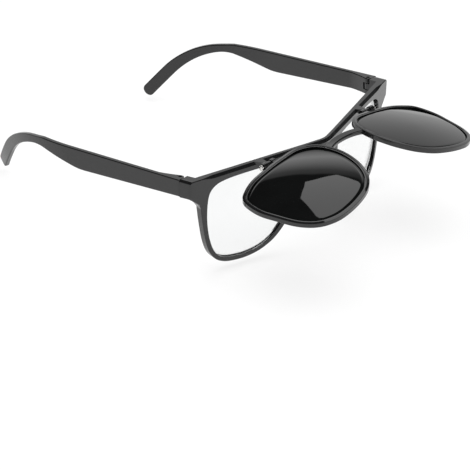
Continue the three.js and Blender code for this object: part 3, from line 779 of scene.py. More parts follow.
def front_stations():
    """Points on the lens opening and, beside them, on the outer outline, clockwise.

    Also gives the opening's normals, and the first station after each mark.
    """
    front = sizes("goggles_front")
    loop = lens_opening()
    normals = outward(loop)
    end = front.half_width / cos(front.wrap)

    def place(u, v):
        spot = (front.lens_nose + u * front.lens_width, -front.brow - v * front.lens_height)
        return int(np.argmin(np.linalg.norm(loop - spot, axis=1)))

    def rim_at(i):
        return loop[i] + normals[i] * rim_width(loop[i])

    def corner(start, finish):
        turn = np.linspace(start, finish, END_CORNER_STEPS)
        across, up = END_CORNER * np.sin(turn), END_CORNER * np.cos(turn)
        return np.column_stack([end - END_CORNER + across, -END_CORNER + up])

    marks = [place(*spot) for spot in OUTLINE_MARKS]
    top = [front.lens_nose + OUTLINE_MARKS[n][0] * front.lens_width for n in (1, 2)]
    low = -front.endpiece - END_LIP
    under = [(end - inwards, low + up) for inwards, up in END_BREAK]
    foot = filleted([(*under[2], 0), END_FOOT, (*rim_at(marks[5]), 0)])
    t = np.linspace(0, 1, HALF_TURN_STEPS)[:, None]
    pull = np.array([front.lens_nose - PAST_CENTRE, -front.bridge])
    level = np.array([-PAST_CENTRE / 2, -front.bridge])
    sweep = (1 - t) ** 2 * rim_at(marks[6]) + 2 * t * (1 - t) * pull + t ** 2 * level
    paths = [
        np.array([(-PAST_CENTRE, 0), (top[0], 0)]),
        np.array([(top[0], 0), (top[1], 0)]),
        np.vstack([[(top[1], 0)], corner(0, pi / 4)]),
        np.vstack([corner(pi / 4, pi / 2), under[:2]]),
        np.vstack([under[1:2], foot]),
        None,
        np.vstack([sweep, [(-PAST_CENTRE, -front.bridge)]]),
        np.array([(-PAST_CENTRE, -front.bridge), (-PAST_CENTRE, 0)]),
    ]
    inner, outer, sides, breaks = [], [], [], []
    for n, (path, count) in enumerate(zip(paths, OUTLINE_COUNTS)):
        first, last = marks[n], marks[(n + 1) % len(marks)]
        if last <= first:
            last += LENS_COUNT
        picks = np.linspace(first, last, count, endpoint=False)
        picks = np.round(picks).astype(int) % LENS_COUNT
        breaks.append(len(inner))
        inner += list(loop[picks])
        sides += list(normals[picks])
        if path is None:
            outer += [rim_at(i) for i in picks]
        else:
            outer += list(even_steps(path, count + 1, closed=False)[:-1])
    return np.array(inner), np.array(outer), np.array(sides), breaks


def front_half():
    """Left half of the moulding: sections from the lens opening out, with the endpiece block."""
    front = sizes("goggles_front")
    hole, rim, sides, breaks = front_stations()
    total = len(hole)
    near, far = front.seat - GROOVE_HALF, front.seat + GROOVE_HALF
    deep = hole + sides * GROOVE_DEPTH
    brow = np.where(rim[:, 1] > -TOP_EDGE, 1 - ramp(rim[:, 0], *SLOPE_RUN_OUT), 0)
    drop = front.corner + (front.slope_drop - front.corner) * brow
    back = front.corner + (front.slope_depth - front.corner) * brow
    low = rim + (offset(rim, -1) - rim) * drop[:, None]
    start, end = THINNING_RUN
    thin = front.thinning * np.clip((end - rim[:, 0]) / (end - start), 0, 1)
    thin = thin * np.clip(1 + rim[:, 1] / front.bridge, 0, 1) * (rim[:, 1] > -front.bridge)

    def row(points, w):
        return bent_front(np.column_stack([points[:, 0], np.broadcast_to(w, total), points[:, 1]]))

    rows = [
        row(hole, front.depth), row(hole, far), row(deep, far),
        row(deep, near), row(hole, near), row(hole, 0),
        row(low, 0), row(rim, back), row(rim, front.depth - thin),
    ]
    count = len(rows)
    points = np.stack(rows, axis=1).reshape(-1, 3)
    back_hole, front_hole, front_row, back_row = 0, 5, count - 2, count - 1

    def index(i, r):
        return (i % total) * count + r

    def pair(i, r):
        return index(i, r), index(i + 1, r)

    def quad(i, r, s):
        return (*pair(i, r), *reversed(pair(i, s)))

    inside = front.half_width - front.endpiece_width
    butt = butt_face()
    reached = rows[front_row][breaks[2]:breaks[3], 0] > inside
    first, last = breaks[2] + int(np.argmax(reached)), breaks[5]
    span = last - first
    foot_run = np.linspace(0, 1, span + 1)
    outer_butt, inner_butt, foot = [], [], []
    for n, i in enumerate(range(first, last + 1)):
        x, _, z = rows[front_row][i]
        if i < breaks[4]:
            spot = (np.clip(x, inside, front.half_width), butt, z)
            if i >= breaks[3] + FACE_START:
                spot = (front.half_width, butt, z)
        else:
            t = (i - breaks[4]) / (last - breaks[4])
            across = front.half_width - t * front.endpiece_width
            spot = (across, butt, -front.endpiece + END_LIP * (1 - t))
        outer_butt.append(spot)
        t = foot_run[n]
        inner_butt.append((inside, butt, -front.endpiece * t))
        foot.append(rows[back_row][first] * (1 - t) + rows[back_row][last] * t)
    outer_butt[0] = (inside, butt, 0)
    start = len(points)
    points = np.vstack([points, outer_butt, inner_butt, foot])
    at_outer = [start + n for n in range(span + 1)]
    at_inner = [start + span + 1 + n for n in range(span + 1)]
    at_foot = [start + 2 * (span + 1) + n for n in range(span + 1)]
    at_inner[0], at_inner[-1] = at_outer[0], at_outer[-1]
    at_foot[0], at_foot[-1] = index(first, back_row), index(last, back_row)

    faces, edges, fine = [], [], []
    for i in range(total):
        faces += [quad(i, r, r + 1) for r in range(front_row)]
        edges += [pair(i, r) for r in (back_hole, front_hole)]
        fine += [pair(i, r) for r in (front_row - 1, front_row)]
        if not first <= i < last:
            faces += [quad(i, front_row, back_row), quad(i, back_row, back_hole)]
            edges.append(pair(i, back_row))
            continue
        n = i - first
        wall = [*pair(i, front_row)]
        if n + 1 == span:
            wall.append(index(i + 1, back_row))
        wall += [at_outer[n + 1], at_outer[n]]
        if n == 0:
            wall.append(index(i, back_row))
        step = [at_outer[n], at_outer[n + 1], at_inner[n + 1], at_inner[n]]
        faces += [
            tuple(wall),
            tuple(dict.fromkeys(step)),
            (at_inner[n], at_inner[n + 1], at_foot[n + 1], at_foot[n]),
            (at_foot[n], at_foot[n + 1], *reversed(pair(i, back_hole))),
        ]
        fine.append((at_outer[n], at_outer[n + 1]))
    return points, faces, {frozenset(e) for e in edges}, {frozenset(e) for e in fine}


def front_plate():
    """Both halves as one closed mesh with rounded edges."""
    points, faces, rounded, broken = front_half()
    body = bmesh.new()
    corners = [body.verts.new(p) for p in points]
    for face in faces:
        body.faces.new([corners[i] for i in face])
    for loose in [v for v in body.verts if not v.link_faces]:
        body.verts.remove(loose)
    corner_at = {v: i for i, v in enumerate(corners) if v.is_valid}
    bmesh.ops.recalc_face_normals(body, faces=body.faces)
    ends = {e: frozenset(corner_at[v] for v in e.verts) for e in body.edges}
    for chain, width in ((broken, FINE_EDGE), (rounded, sizes("goggles_front").edge)):
        picked = [e for e, pair in ends.items() if e.is_valid and pair in chain]
        bmesh.ops.bevel(
            body, geom=picked, offset=width, segments=3, profile=0.5, affect="EDGES",
            clamp_overlap=True,
        )
    everything = [*body.verts, *body.edges, *body.faces]
    bmesh.ops.bisect_plane(
        body, geom=everything, dist=CUT_REACH, plane_co=(0, 0, 0), plane_no=(1, 0, 0),
        clear_inner=True,
    )
    twin = bmesh.ops.duplicate(body, geom=[*body.verts, *body.edges, *body.faces])["geom"]
    twin_faces = [g for g in twin if isinstance(g, bmesh.types.BMFace)]
    for vert in [g for g in twin if isinstance(g, bmesh.types.BMVert)]:
        vert.co.x = -vert.co.x
    bmesh.ops.reverse_faces(body, faces=twin_faces)
    seam = [v for v in body.verts if abs(v.co.x) < WELD / 2]
    bmesh.ops.remove_doubles(body, verts=seam, dist=WELD / 2)
    mesh = bpy.data.meshes.new("front")
    body.to_mesh(mesh)
    body.free()
    return mesh


# Hinge tabs, leaves and nose pads: how far they sink into the front, in millimetres
TAB_ROOT = 0.4
LEAF_ROOT = 1
PAD_ROOT = 0.5

# Nose pads: rings, sides, the share of the length that the rings reach, and their fullness
PAD_RINGS = 33
PAD_SIDES = 40
PAD_END = 0.985
PAD_FULLNESS = 0.9

# Room that a lens opening takes out of a nose pad: margin, start and end, in millimetres
OPENING_STATIONS = 180
OPENING_MARGIN = 0.05
OPENING_RUN = (-3, 12)


def hinge_tab():
    """Tab that carries a flip hinge's middle knuckle, flush with the top of the brow."""
    front, hinge = sizes("goggles_front"), sizes("goggles_hinges")
    _, y, z = flip_axis()
    x, half = hinge.offset, hinge.tab_width / 2
    clear = y + hinge.radius + GAP
    ends = [x + side * (half + hinge.tab_flare) for side in (1, -1)]
    roots = [(end, front_at(end) + front.slope_depth + TAB_ROOT) for end in ends]
    plan = np.array([(x - half, y), (x + half, y), (x + half, clear), *roots, (x - half, clear)])
    plate = prism(plan, from_top, -hinge.tab_thickness, 0, FINE_EDGE)
    knuckle = prism(disc(hinge.tab_radius, y, z), from_side, x - half, x + half, FINE_EDGE)
    return plate, knuckle


def flip_bore():
    """Bore along a flip hinge's axis, through all its knuckles."""
    hinge = sizes("goggles_hinges")
    _, y, z = flip_axis()
    reach = hinge.tab_width + 2 * hinge.knuckle_width
    bore = disc(hinge.screw_radius + BORE_GAP, y, z, BORE_STEPS)
    return prism(bore, from_side, hinge.offset - reach, hinge.offset + reach)


def hinge_leaf():
    """Leaf on the endpiece that a temple's two knuckles hold between them."""
    hinge = sizes("goggles_hinges")
    x, y = pivot()
    radius = hinge.pivot_radius
    turn = np.linspace(0, pi, HALF_TURN_STEPS)
    cap = np.column_stack([x + radius * np.cos(turn), y + radius * np.sin(turn)])
    root = butt_face() - LEAF_ROOT
    arm = np.vstack([[(x + radius, root)], cap, [(x - radius, root)]])
    low = -hinge.leaf_top - hinge.leaf_height
    return prism(arm, from_top, low, -hinge.leaf_top, FINE_EDGE)


def pivot_bore(x, y):
    """Bore along a temple's hinge axis."""
    hinge = sizes("goggles_hinges")
    bore = disc(hinge.screw_radius + BORE_GAP, x, y, BORE_STEPS)
    return prism(bore, from_top, -THROUGH, THROUGH)


def nose_pad():
    """Moulded pad on the back of the nose side of a rim, a smooth swelling along its slope."""
    front = sizes("goggles_front")
    loop = lens_opening()
    seat = offset(loop, front.nose_rim / 2)
    seat = seat[loop[:, 0] < front.lens_nose + front.lens_width / 2]
    ends = [-front.pad_drop - k * front.pad_length / 2 for k in (-1, 1)]
    top, bottom = (seat[np.argmin(np.abs(seat[:, 1] - end))] for end in ends)
    middle = (top + bottom) / 2
    lean = np.arctan2(bottom[0] - top[0], top[1] - bottom[1])
    rings = []
    for t in np.linspace(-PAD_END, PAD_END, PAD_RINGS):
        wide = np.sqrt(1 - t * t) ** PAD_FULLNESS
        oval = disc(1, count=PAD_SIDES) * (front.pad_width / 2 * wide, front.pad_reach * wide)
        rings.append(from_top(oval, front.pad_length / 2 * t))
    place = (middle[0] - front.nose_rim / 2, front.depth - PAD_ROOT, middle[1])
    pad = moved(loft(rings), lambda p: bent_front(turned(p, "Y", -lean) + place))
    hollow = offset(lens_opening(OPENING_STATIONS), OPENING_MARGIN)
    opening = loft([from_front(hollow, level) for level in OPENING_RUN])
    return carved(pad, cuts=[moved(opening, bent_front)])


class GOGGLES_OT_front_frame(bpy.types.Operator):
    """Front frame with brow, rims, bridge, endpieces, nose pads, hinge tabs and hinge leaves"""

    bl_idname = "goggles.front_frame"
    bl_label = "Front frame"

    def execute(self, context):
        parts = [*hinge_tab(), hinge_leaf(), nose_pad()]
        cuts = [flip_bore(), pivot_bore(*pivot())]
        mesh = carved(
            front_plate(),
            [*parts, *(mirrored(p) for p in parts)],
            [*cuts, *(mirrored(c) for c in cuts)],
        )
        finished(mesh, "front_moulding", "front", ["front_frame"], black_plastic())
        return {"FINISHED"}


# Lenses

# Loops of a lens's face, as shares of its outline from the border to the middle
LENS_STEPS = (
    1, 0.995, 0.985, 0.97, 0.955, 0.935, 0.88, 0.8, 0.7, 0.58, 0.45, 0.31, 0.17, 0.06, 0.02, 0.005,
)

# Rounding of a lens's border: the share where it starts, its fall in millimetres and its power
BORDER_START = 0.93
BORDER_FALL = 0.3
BORDER_POWER = 2.5


def domed_lens(loop, middle, thickness, dome):
    """Closed lens: evenly curved faces with rounded borders, and a tongue that fits the groove."""
    low, high = loop.min(axis=0), loop.max(axis=0)
    heart, reach = (low + high) / 2, (high - low) / 2
    tongue = offset(loop, GROOVE_DEPTH - GAP)
    body = offset(loop, -GAP)
    half = thickness / 2

    def bulge(points):
        return dome * (1 - (((points - heart) / reach) ** 2).sum(axis=1))

    def layer(points, depth):
        return np.column_stack([points[:, 0], depth, points[:, 1]])

    def face(side):
        loops = []
        for s in LENS_STEPS:
            inner = heart + (body - heart) * s
            border = max(0.0, (s - BORDER_START) / (1 - BORDER_START))
            rounding = BORDER_FALL * border ** BORDER_POWER
            loops.append(layer(inner, middle + side * (half - rounding) - bulge(inner)))
        return loops

    return loft([
        *reversed(face(-1)),
        from_front(body, middle - LENS_TONGUE / 2),
        from_front(tongue, middle - LENS_TONGUE / 2),
        from_front(tongue, middle + LENS_TONGUE / 2),
        from_front(body, middle + LENS_TONGUE / 2),
        *face(1),
    ])


class GOGGLES_OT_clear_lenses(bpy.types.Operator):
    """Two clear lenses in the grooves of the front frame"""

    bl_idname = "goggles.clear_lenses"
    bl_label = "Clear lenses"

    def execute(self, context):
        front, lens = sizes("goggles_front"), sizes("goggles_lenses")
        loop = lens_opening(LENS_STATIONS)
        mesh = domed_lens(loop, front.seat, lens.clear_thickness, lens.clear_dome)
        for side, pane in both_sides(moved(mesh, bent_front)):
            name, node = f"clear_pane_{side}", f"clear_lens_{side}"
            finished(pane, name, "front", [node], clear_lens())
        return {"FINISHED"}


def flip_loop():
    """Outer outline of a flip rim."""
    flip = sizes("goggles_flip")
    return smooth_loop(
        RIM_SHARES, flip.nose, flip.width, -flip.drop, flip.height, LENS_STATIONS, FLIP_SOFTEN
    )


class GOGGLES_OT_dark_lenses(bpy.types.Operator):
    """Two dark lenses in the grooves of the flip front"""

    bl_idname = "goggles.dark_lenses"
    bl_label = "Dark lenses"

    def execute(self, context):
        flip, lens = sizes("goggles_flip"), sizes("goggles_lenses")
        loop = offset(flip_loop(), -flip.rim)
        mesh = domed_lens(loop, flip.depth / 2, lens.dark_thickness, lens.dark_dome)
        for side, pane in both_sides(moved(mesh, lambda p: raised(turned_flip(p)))):
            name, node = f"dark_pane_{side}", f"dark_lens_{side}"
            finished(pane, name, "flip", [node], dark_filter())
        return {"FINISHED"}


# Flip front

# Section of a flip rim: its face from the outer edge to the lens (inwards, back, rounding), the lip
# beside the lens (back, rounding), and the roundings at its back
FLIP_FACE = ((0, 0.21, 0.15), (1.15, 0, 0.07), (1.3, 0.25, 0.07))
FLIP_LIP = (0.2, 0.06)
FLIP_OUTER_ROUND = 0.3
FLIP_INNER_ROUND = 0.25

# Arched bar: root in the rims as a share of their width, rounding, power of the arch, forward bow
ARCH_ROOT = 0.05
ARCH_ROUND = 0.75
ARCH_POWER = 2.3
ARCH_BOW = 0.3
ARCH_STEPS = 41

# Feet of the knuckles: in from the rim's front and back, up from the groove, in from their ends,
# and their broken edges
FOOT_FRONT = 0.5
FOOT_BACK = 0.4
FOOT_ABOVE_GROOVE = 0.4
FOOT_INSET = 0.05
FOOT_EDGE = 0.1


def flip_rim():
    """Rim with a sloped face, a lip beside the lens, and the lens groove."""
    flip = sizes("goggles_flip")
    loop = flip_loop()
    inner, bottom = flip.rim, flip.rim - GROOVE_DEPTH
    near, far = flip.depth / 2 - GROOVE_HALF, flip.depth / 2 + GROOVE_HALF
    section = filleted([
        (0, flip.depth, FLIP_OUTER_ROUND), *FLIP_FACE, (inner, *FLIP_LIP),
        (inner, near, 0), (bottom, near, 0), (bottom, far, 0), (inner, far, 0),
        (inner, flip.depth, FLIP_INNER_ROUND),
    ])
    loops = [from_front(offset(loop, -inset), depth) for inset, depth in section]
    return moved(loft(loops, ring=True), turned_flip)


def flip_bridge():
    """Arched bar between the two rims."""
    flip, hinge = sizes("goggles_flip"), sizes("goggles_hinges")
    reach = flip.nose + flip.width * ARCH_ROOT + flip.rim / 2
    depth = -flip.ahead + flip.depth / 2 - (hinge.offset - reach) * tan(flip.wrap)
    foot = -flip.bridge_drop - flip.bridge_rise - flip.bridge_height / 2
    h, d = flip.bridge_height / 2, flip.bridge_depth / 2
    section = filleted([(a, b, ARCH_ROUND) for a, b in ((d, h), (-d, h), (-d, -h), (d, -h))])
    loops = []
    for t in np.linspace(-1, 1, ARCH_STEPS):
        rise = flip.bridge_rise * (1 - np.abs(t) ** ARCH_POWER)
        steep = ARCH_POWER * np.sign(t) * np.abs(t) ** (ARCH_POWER - 1)
        slope = -flip.bridge_rise * steep / reach
        along = np.array([1, 0, slope]) / np.hypot(1, slope)
        up = np.array([-along[2], 0, along[0]])
        middle = np.array([t * reach, depth - ARCH_BOW * (1 - t * t), foot + rise])
        loops.append([middle + np.array([0, a, 0]) + up * b for a, b in section])
    return loft(loops)


def flip_knuckle(side):
    """Outer knuckle of a flip hinge with its foot on the rim."""
    flip, hinge = sizes("goggles_flip"), sizes("goggles_hinges")
    near = hinge.tab_width / 2 + GAP
    start = hinge.offset + (near if side > 0 else -near - hinge.knuckle_width)
    end = start + hinge.knuckle_width
    lean = side * (near + hinge.knuckle_width / 2) * tan(flip.wrap)
    ahead = lean - flip.ahead + FOOT_FRONT
    behind = lean - flip.ahead + flip.depth - FOOT_BACK
    low = -flip.drop - flip.rim + GROOVE_DEPTH + FOOT_ABOVE_GROOVE
    outline = np.array([(ahead, low), (behind, low), (behind, 0), (ahead, 0)])
    foot = prism(outline, from_side, start + FOOT_INSET, end - FOOT_INSET, FOOT_EDGE)
    barrel = prism(disc(hinge.radius), from_side, start, end, FINE_EDGE)
    return foot, barrel


class GOGGLES_OT_flip_front(bpy.types.Operator):
    """Flip front: two rims, arched bridge and four knuckles"""

    bl_idname = "goggles.flip_front"
    bl_label = "Flip front"

    def execute(self, context):
        hinge = sizes("goggles_hinges")
        room = hinge.tab_width / 2 + GAP
        outline = disc(hinge.tab_radius + GAP)
        tab_room = prism(outline, from_side, hinge.offset - room, hinge.offset + room)
        _, y, z = flip_axis()
        bore = moved(flip_bore(), lambda p: p - (0, y, z))
        rim = carved(flip_rim(), cuts=[tab_room])
        half = carved(rim, [*flip_knuckle(-1), *flip_knuckle(1)], [bore])
        mesh = carved(half, [mirrored(half), flip_bridge()])
        moved(mesh, raised)
        finished(mesh, "flip_moulding", "flip", ["flip_frame"], black_plastic())
        return {"FINISHED"}


# Temples

# Share of the way from the neck to the tip where the tip's height is reached
TIP_REACHED = 0.625

# Smoothing of the lower edge along a temple: its run each way, its steps, and where its weight ends
EDGE_BLUR = 5
EDGE_BLUR_STEPS = 21
EDGE_BLUR_REACH = 5.5

# Swelling over the hinge: its full part past the hinge axis, and the power of its fall
SWELLING_FULL = 0.4
SWELLING_POWER = 1.3

# Stations along a temple, in millimetres from the joint: near the hinge, and from the arm on
HINGE_STATIONS = np.linspace(1, 16, 22)
ARM_START = 18
ARM_STATIONS = 104
TIP_STATIONS = 14

# Room for the endpiece's leaf, ahead of and inside of the hinge axis
LEAF_ROOM = 8

# Rounded end: power of its outline, square of the least share of its height, and the share of its
# thickness that it keeps
TIP_POWER = 2.2
TIP_LEAST = 0.02
TIP_THICKNESS = 0.45

# Most that the long edges are rounded, as a share of half a side
EDGE_LIMIT = 0.8


def temple_height(along, total):
    t = sizes("goggles_temples")
    widened = t.neck_at + (total - t.neck_at) * TIP_REACHED
    places = [0, t.break_at, t.neck_at, widened, total]
    heights = [t.joint_height, t.break_height, t.neck_height, t.tip_height, t.tip_height]
    blur = np.linspace(-EDGE_BLUR, EDGE_BLUR, EDGE_BLUR_STEPS)
    weights = 1 - np.abs(blur) / EDGE_BLUR_REACH
    parts = [np.interp(along + b, places, heights) * k for b, k in zip(blur, weights)]
    return sum(parts) / weights.sum()


def hinge_swelling(along):
    """Extra thickness of the temple's inner side near the hinge."""
    t, hinge = sizes("goggles_temples"), sizes("goggles_hinges")
    full = hinge.pivot_inset + hinge.pivot_radius - t.thickness
    start = hinge.pivot_behind + SWELLING_FULL
    fallen = np.clip((along - start) / (hinge.boss_length - start), 0, 1)
    return full * (1 - fallen) ** SWELLING_POWER


def temple_arm():
    """Temple swept from the joint, down and in behind the ear, to its rounded tip."""
    t = sizes("goggles_temples")
    hinge = sizes("goggles_hinges")
    tip_start = t.ear_bend + t.ear_radius * t.ear_drop + t.ear_straight
    total = tip_start + t.tip_round
    shares = np.sin(np.linspace(0, 1, TIP_STATIONS) * pi / 2)
    places = np.concatenate([
        [0, FINE_EDGE],
        HINGE_STATIONS,
        np.linspace(ARM_START, tip_start, ARM_STATIONS, endpoint=False),
        tip_start + t.tip_round * shares,
    ])
    loops = []
    for along in places:
        tip = max(0.0, along - tip_start) / t.tip_round
        narrowed = max(TIP_LEAST, 1 - tip ** TIP_POWER) ** 0.5
        broken = FINE_EDGE if along == 0 else 0.0
        h = temple_height(along, total) * narrowed / 2 - broken
        thick = t.thickness / 2 * (TIP_THICKNESS + (1 - TIP_THICKNESS) * narrowed)
        outer, inner = thick - broken, -thick - hinge_swelling(along) + broken
        slope = np.clip((along - t.ear_bend) / t.ear_radius, 0, t.ear_drop)
        rest = max(0.0, along - t.ear_bend) - slope * t.ear_radius
        run = min(along, t.ear_bend) + t.ear_radius * sin(slope) + rest * cos(slope)
        drop = t.ear_radius * (1 - cos(slope)) + rest * sin(slope)
        heading = max(0.0, run - t.wrap_bend) / t.wrap_radius
        inward = t.wrap_radius * (1 - cos(heading))
        back = min(run, t.wrap_bend) + t.wrap_radius * sin(heading)
        level = -temple_height(min(along, t.ear_bend), total) / 2
        middle = np.array([-inward - t.thickness / 2, back, level - drop])
        face = heading * t.wrap_turn
        side = np.array([cos(face), sin(face), 0])
        forward = np.array([-sin(face), cos(face), 0])
        up = np.array([0, 0, cos(slope)]) + forward * sin(slope)
        r = min(t.edge, EDGE_LIMIT * h, EDGE_LIMIT * thick)
        section = filleted([(outer, h, r), (inner, h, r), (inner, -h, r), (outer, -h, r)])
        loops.append([middle + side * a + up * b for a, b in section])
    mesh = loft(loops)
    shift = (hinge.pivot_inset, JOINT_GAP - hinge.pivot_behind, 0)
    return moved(mesh, lambda p: turned(p, "Z", t.converge) + shift)


def knuckle_rounding():
    """Room ahead of the knuckles, inside of the hinge axis, that lets the temple fold."""
    r = sizes("goggles_hinges").pivot_radius
    far = -4 * r
    turn = np.linspace(-pi / 2, -pi, HALF_TURN_STEPS)
    arc = np.column_stack([r * np.cos(turn), r * np.sin(turn)])
    outline = np.vstack([[(0, far)], arc, [(far, 0), (far, far)]])
    return prism(outline, from_top, -THROUGH, THROUGH)


def leaf_room():
    """Room between the temple's knuckles for the endpiece's leaf, also when folded."""
    hinge = sizes("goggles_hinges")
    reach, far = hinge.pivot_radius + GAP, -LEAF_ROOM
    outline = np.array([(far, far), (reach, far), (reach, reach), (far, reach)])
    low = -hinge.leaf_top - hinge.leaf_height - GAP
    return prism(outline, from_top, low, GAP - hinge.leaf_top)


class GOGGLES_OT_temples(bpy.types.Operator):
    """Two folding temples with their hinge knuckles"""

    bl_idname = "goggles.temples"
    bl_label = "Temples"

    def execute(self, context):
        mesh = carved(temple_arm(), cuts=[knuckle_rounding(), leaf_room(), pivot_bore(0, 0)])
        for side, arm in both_sides(moved(mesh, lambda p: p + (*pivot(), 0))):
            name, body, node = f"temple_arm_{side}", f"temple_{side[0]}", f"temple_{side}"
            finished(arm, name, body, [node], black_plastic())
        return {"FINISHED"}


# Screws

# Edges of a screw: at its end (share of the radius, length in millimetres), under its head (gap in
# millimetres), and round its head (shares of the head's radius and height)
SCREW_END = (0.8, 0.15)
NECK_GAP = 0.02
HEAD_EDGE = (0.94, 0.1)

# A head's crown starts at a share of the head's height and turns through a share of a quarter
CROWN_START = 0.55
CROWN_TURN = 0.9
CROWN_STEPS = 7

# Slots of the flip hinge screws and of the temple screws
FLIP_SLOT_TURN = radians(25)
TEMPLE_SLOT_TURN = radians(35)


def slotted_screw(total, head_radius, head_height):
    """Screw along Z with a rounded, slotted head above its shank."""
    hinge = sizes("goggles_hinges")
    radius = hinge.screw_radius
    crown = [
        (head_radius * cos(a), head_height * (CROWN_START + (1 - CROWN_START) * sin(a)))
        for a in np.linspace(0, pi / 2 * CROWN_TURN, CROWN_STEPS)
    ]
    profile = [
        (0, -total), (radius * SCREW_END[0], -total), (radius, -total + SCREW_END[1]),
        (radius, -NECK_GAP), (head_radius * HEAD_EDGE[0], 0),
        (head_radius, head_height * HEAD_EDGE[1]), *crown, (0, head_height),
    ]
    half = hinge.slot_width / 2
    reach = 2 * head_radius
    slot = np.array([(-half, -reach), (half, -reach), (half, reach), (-half, reach)])
    cutter = prism(slot, from_top, head_height - hinge.slot_depth, head_height + 1)
    return carved(lathed(profile), cuts=[cutter])


class GOGGLES_OT_screws(bpy.types.Operator):
    """Screws of the two flip hinges and the two temple hinges"""

    bl_idname = "goggles.screws"
    bl_label = "Screws"

    def execute(self, context):
        hinge = sizes("goggles_hinges")
        stack = hinge.tab_width / 2 + GAP + hinge.knuckle_width
        place = (hinge.offset + stack + GAP, 0, 0)
        pin = slotted_screw(2 * stack + GAP, hinge.head_radius, hinge.head_height)
        moved(pin, lambda p: turned(turned(p, "Z", FLIP_SLOT_TURN), "Y", pi / 2) + place)
        for side, screw in both_sides(moved(pin, raised)):
            name, node = f"flip_pin_{side}", f"flip_screw_{side}"
            finished(screw, name, "flip", [node], screw_steel())
        under = sizes("goggles_temples").joint_height - hinge.boss_drop
        total, seat = under - hinge.boss_drop, (*pivot(), -under - GAP)
        pin = slotted_screw(total, hinge.pivot_head_radius, hinge.pivot_head_height)
        moved(pin, lambda p: turned(turned(p, "Z", TEMPLE_SLOT_TURN), "X", pi) + seat)
        for side, screw in both_sides(pin):
            name, node = f"temple_pin_{side}", f"temple_screw_{side}"
            finished(screw, name, "front", [node], screw_steel())
        return {"FINISHED"}


# Stage

CAMERA_PLACE = (-0.97373, -0.70122, 0.63536)
CAMERA_TURN = (61.2375, -3.9747, -52.236)
CAMERA_FAR = 20

# Light of the studio from the floor up to the dark ceiling: share of the way up, radiance
WALL_FADE = [
    (0, 0.85), (0.35, 0.65), (0.47, 0.75), (0.53, 1.9),
    (0.58, 1.2), (0.625, 0.42), (0.645, 0.32), (0.656, 0.03),
]
SIDE_FADE = [(0, 0.85), (0.1, 0.8), (0.24, 0.12), (0.4, 0.03)]

# Bright wall: its highest radiance, the way its light fades, where it stands, and how it ends
WALL_PEAK = 1.9
WALL_LEAN = (-0.17, 0.218, 0.961)
WALL_WAY = (0.743, 0.669, 0)
WALL_SIDES = (0.62, 0.74)

# Softboxes: elevation and bearing in degrees, distance and corners in metres, radiance
SOFTBOX_DISTANCE = 1.3
MAIN_WAY = (58.2, 26.3)
MAIN_CORNERS = [
    (0.215, 0.005), (0.239, -0.186), (0.079, -0.251), (-0.085, -0.168),
    (-0.2, 0), (-0.2, 0.2), (-0.052, 0.358),
]
MAIN_LIGHT = 1.8
BANK_WAY = (28, -80)
BANK_CORNERS = [(-0.65, -0.35), (0.65, -0.35), (0.65, 0.35), (-0.65, 0.35)]
BANK_LIGHT = 1.5

# Overhead lamp: height and size in metres, power in watts
OVERHEAD_HEIGHT = 2.0
OVERHEAD_SIZE = 2.5
OVERHEAD_POWER = 79

# Floor: sides, rings as shares of its radius, and how much of its light is its own
FLOOR_SIDES = 64
FLOOR_RINGS = (1, 0.5, 0.1)
FLOOR_GLOW = 0.82


def worked(tree, operation, first, second):
    """Math node on two values, of which the second may be a plain number."""
    node = tree.nodes.new("ShaderNodeMath")
    node.operation = operation
    tree.links.new(first, node.inputs[0])
    if isinstance(second, float):
        node.inputs[1].default_value = second
    else:
        tree.links.new(second, node.inputs[1])
    return node.outputs["Value"]


def floor_material(stage):
    """White floor that glows where it is looked at, straight or by a reflection."""
    material, tree, shader = node_material("studio_floor")
    tinted(tree, shader, stage.floor, scale=3, dark=0.985)
    shader.inputs["Roughness"].default_value = 0.9
    shader.inputs["Specular IOR Level"].default_value = 0.0
    glow = tree.nodes.new("ShaderNodeEmission")
    ray = tree.nodes.new("ShaderNodeLightPath").outputs
    seen = worked(tree, "MAXIMUM", ray["Is Camera Ray"], ray["Is Glossy Ray"])
    seen = worked(tree, "MAXIMUM", seen, ray["Is Transmission Ray"])
    part = worked(tree, "MULTIPLY", seen, FLOOR_GLOW)
    surface = mixed(tree, part, shader.outputs["BSDF"], glow.outputs["Emission"])
    tree.links.new(surface, tree.nodes["Material Output"].inputs["Surface"])
    return material


def round_floor(stage):
    """Round floor in rings."""
    level, sides = -stage.floor_drop, FLOOR_SIDES
    rings = [from_top(disc(stage.floor_radius * s, count=sides), level) for s in FLOOR_RINGS]
    faces = []
    for a in range(0, sides * (len(rings) - 1), sides):
        for j in range(sides):
            k = (j + 1) % sides
            faces.append((a + j, a + k, a + sides + k, a + sides + j))
    last = sides * (len(rings) - 1)
    faces.append(tuple(range(last, last + sides)))
    mesh = bpy.data.meshes.new("floor")
    mesh.from_pydata([tuple(p) for p in np.vstack(rings)], [], faces)
    mesh.materials.append(floor_material(stage))
    floor = bpy.data.objects.new("floor", mesh)
    bpy.context.scene.collection.objects.link(floor)


def fade_up(tree, way, fade):
    """Light that changes along a direction, by stops of share and radiance."""
    where = tree.nodes.new("ShaderNodeTexCoord")
    along = tree.nodes.new("ShaderNodeVectorMath")
    along.operation = "DOT_PRODUCT"
    along.inputs[1].default_value = way
    ramp_node = tree.nodes.new("ShaderNodeValToRGB")
    stops = ramp_node.color_ramp.elements
    stops[0].position, stops[1].position = fade[0][0], fade[-1][0]
    for place, _ in fade[1:-1]:
        stops.new(place)
    for stop, (_, light) in zip(stops, fade):
        stop.color = (light / WALL_PEAK,) * 3 + (1,)
    tree.links.new(where.outputs["Generated"], along.inputs[0])
    tree.links.new(along.outputs["Value"], ramp_node.inputs["Fac"])
    return ramp_node.outputs["Color"]


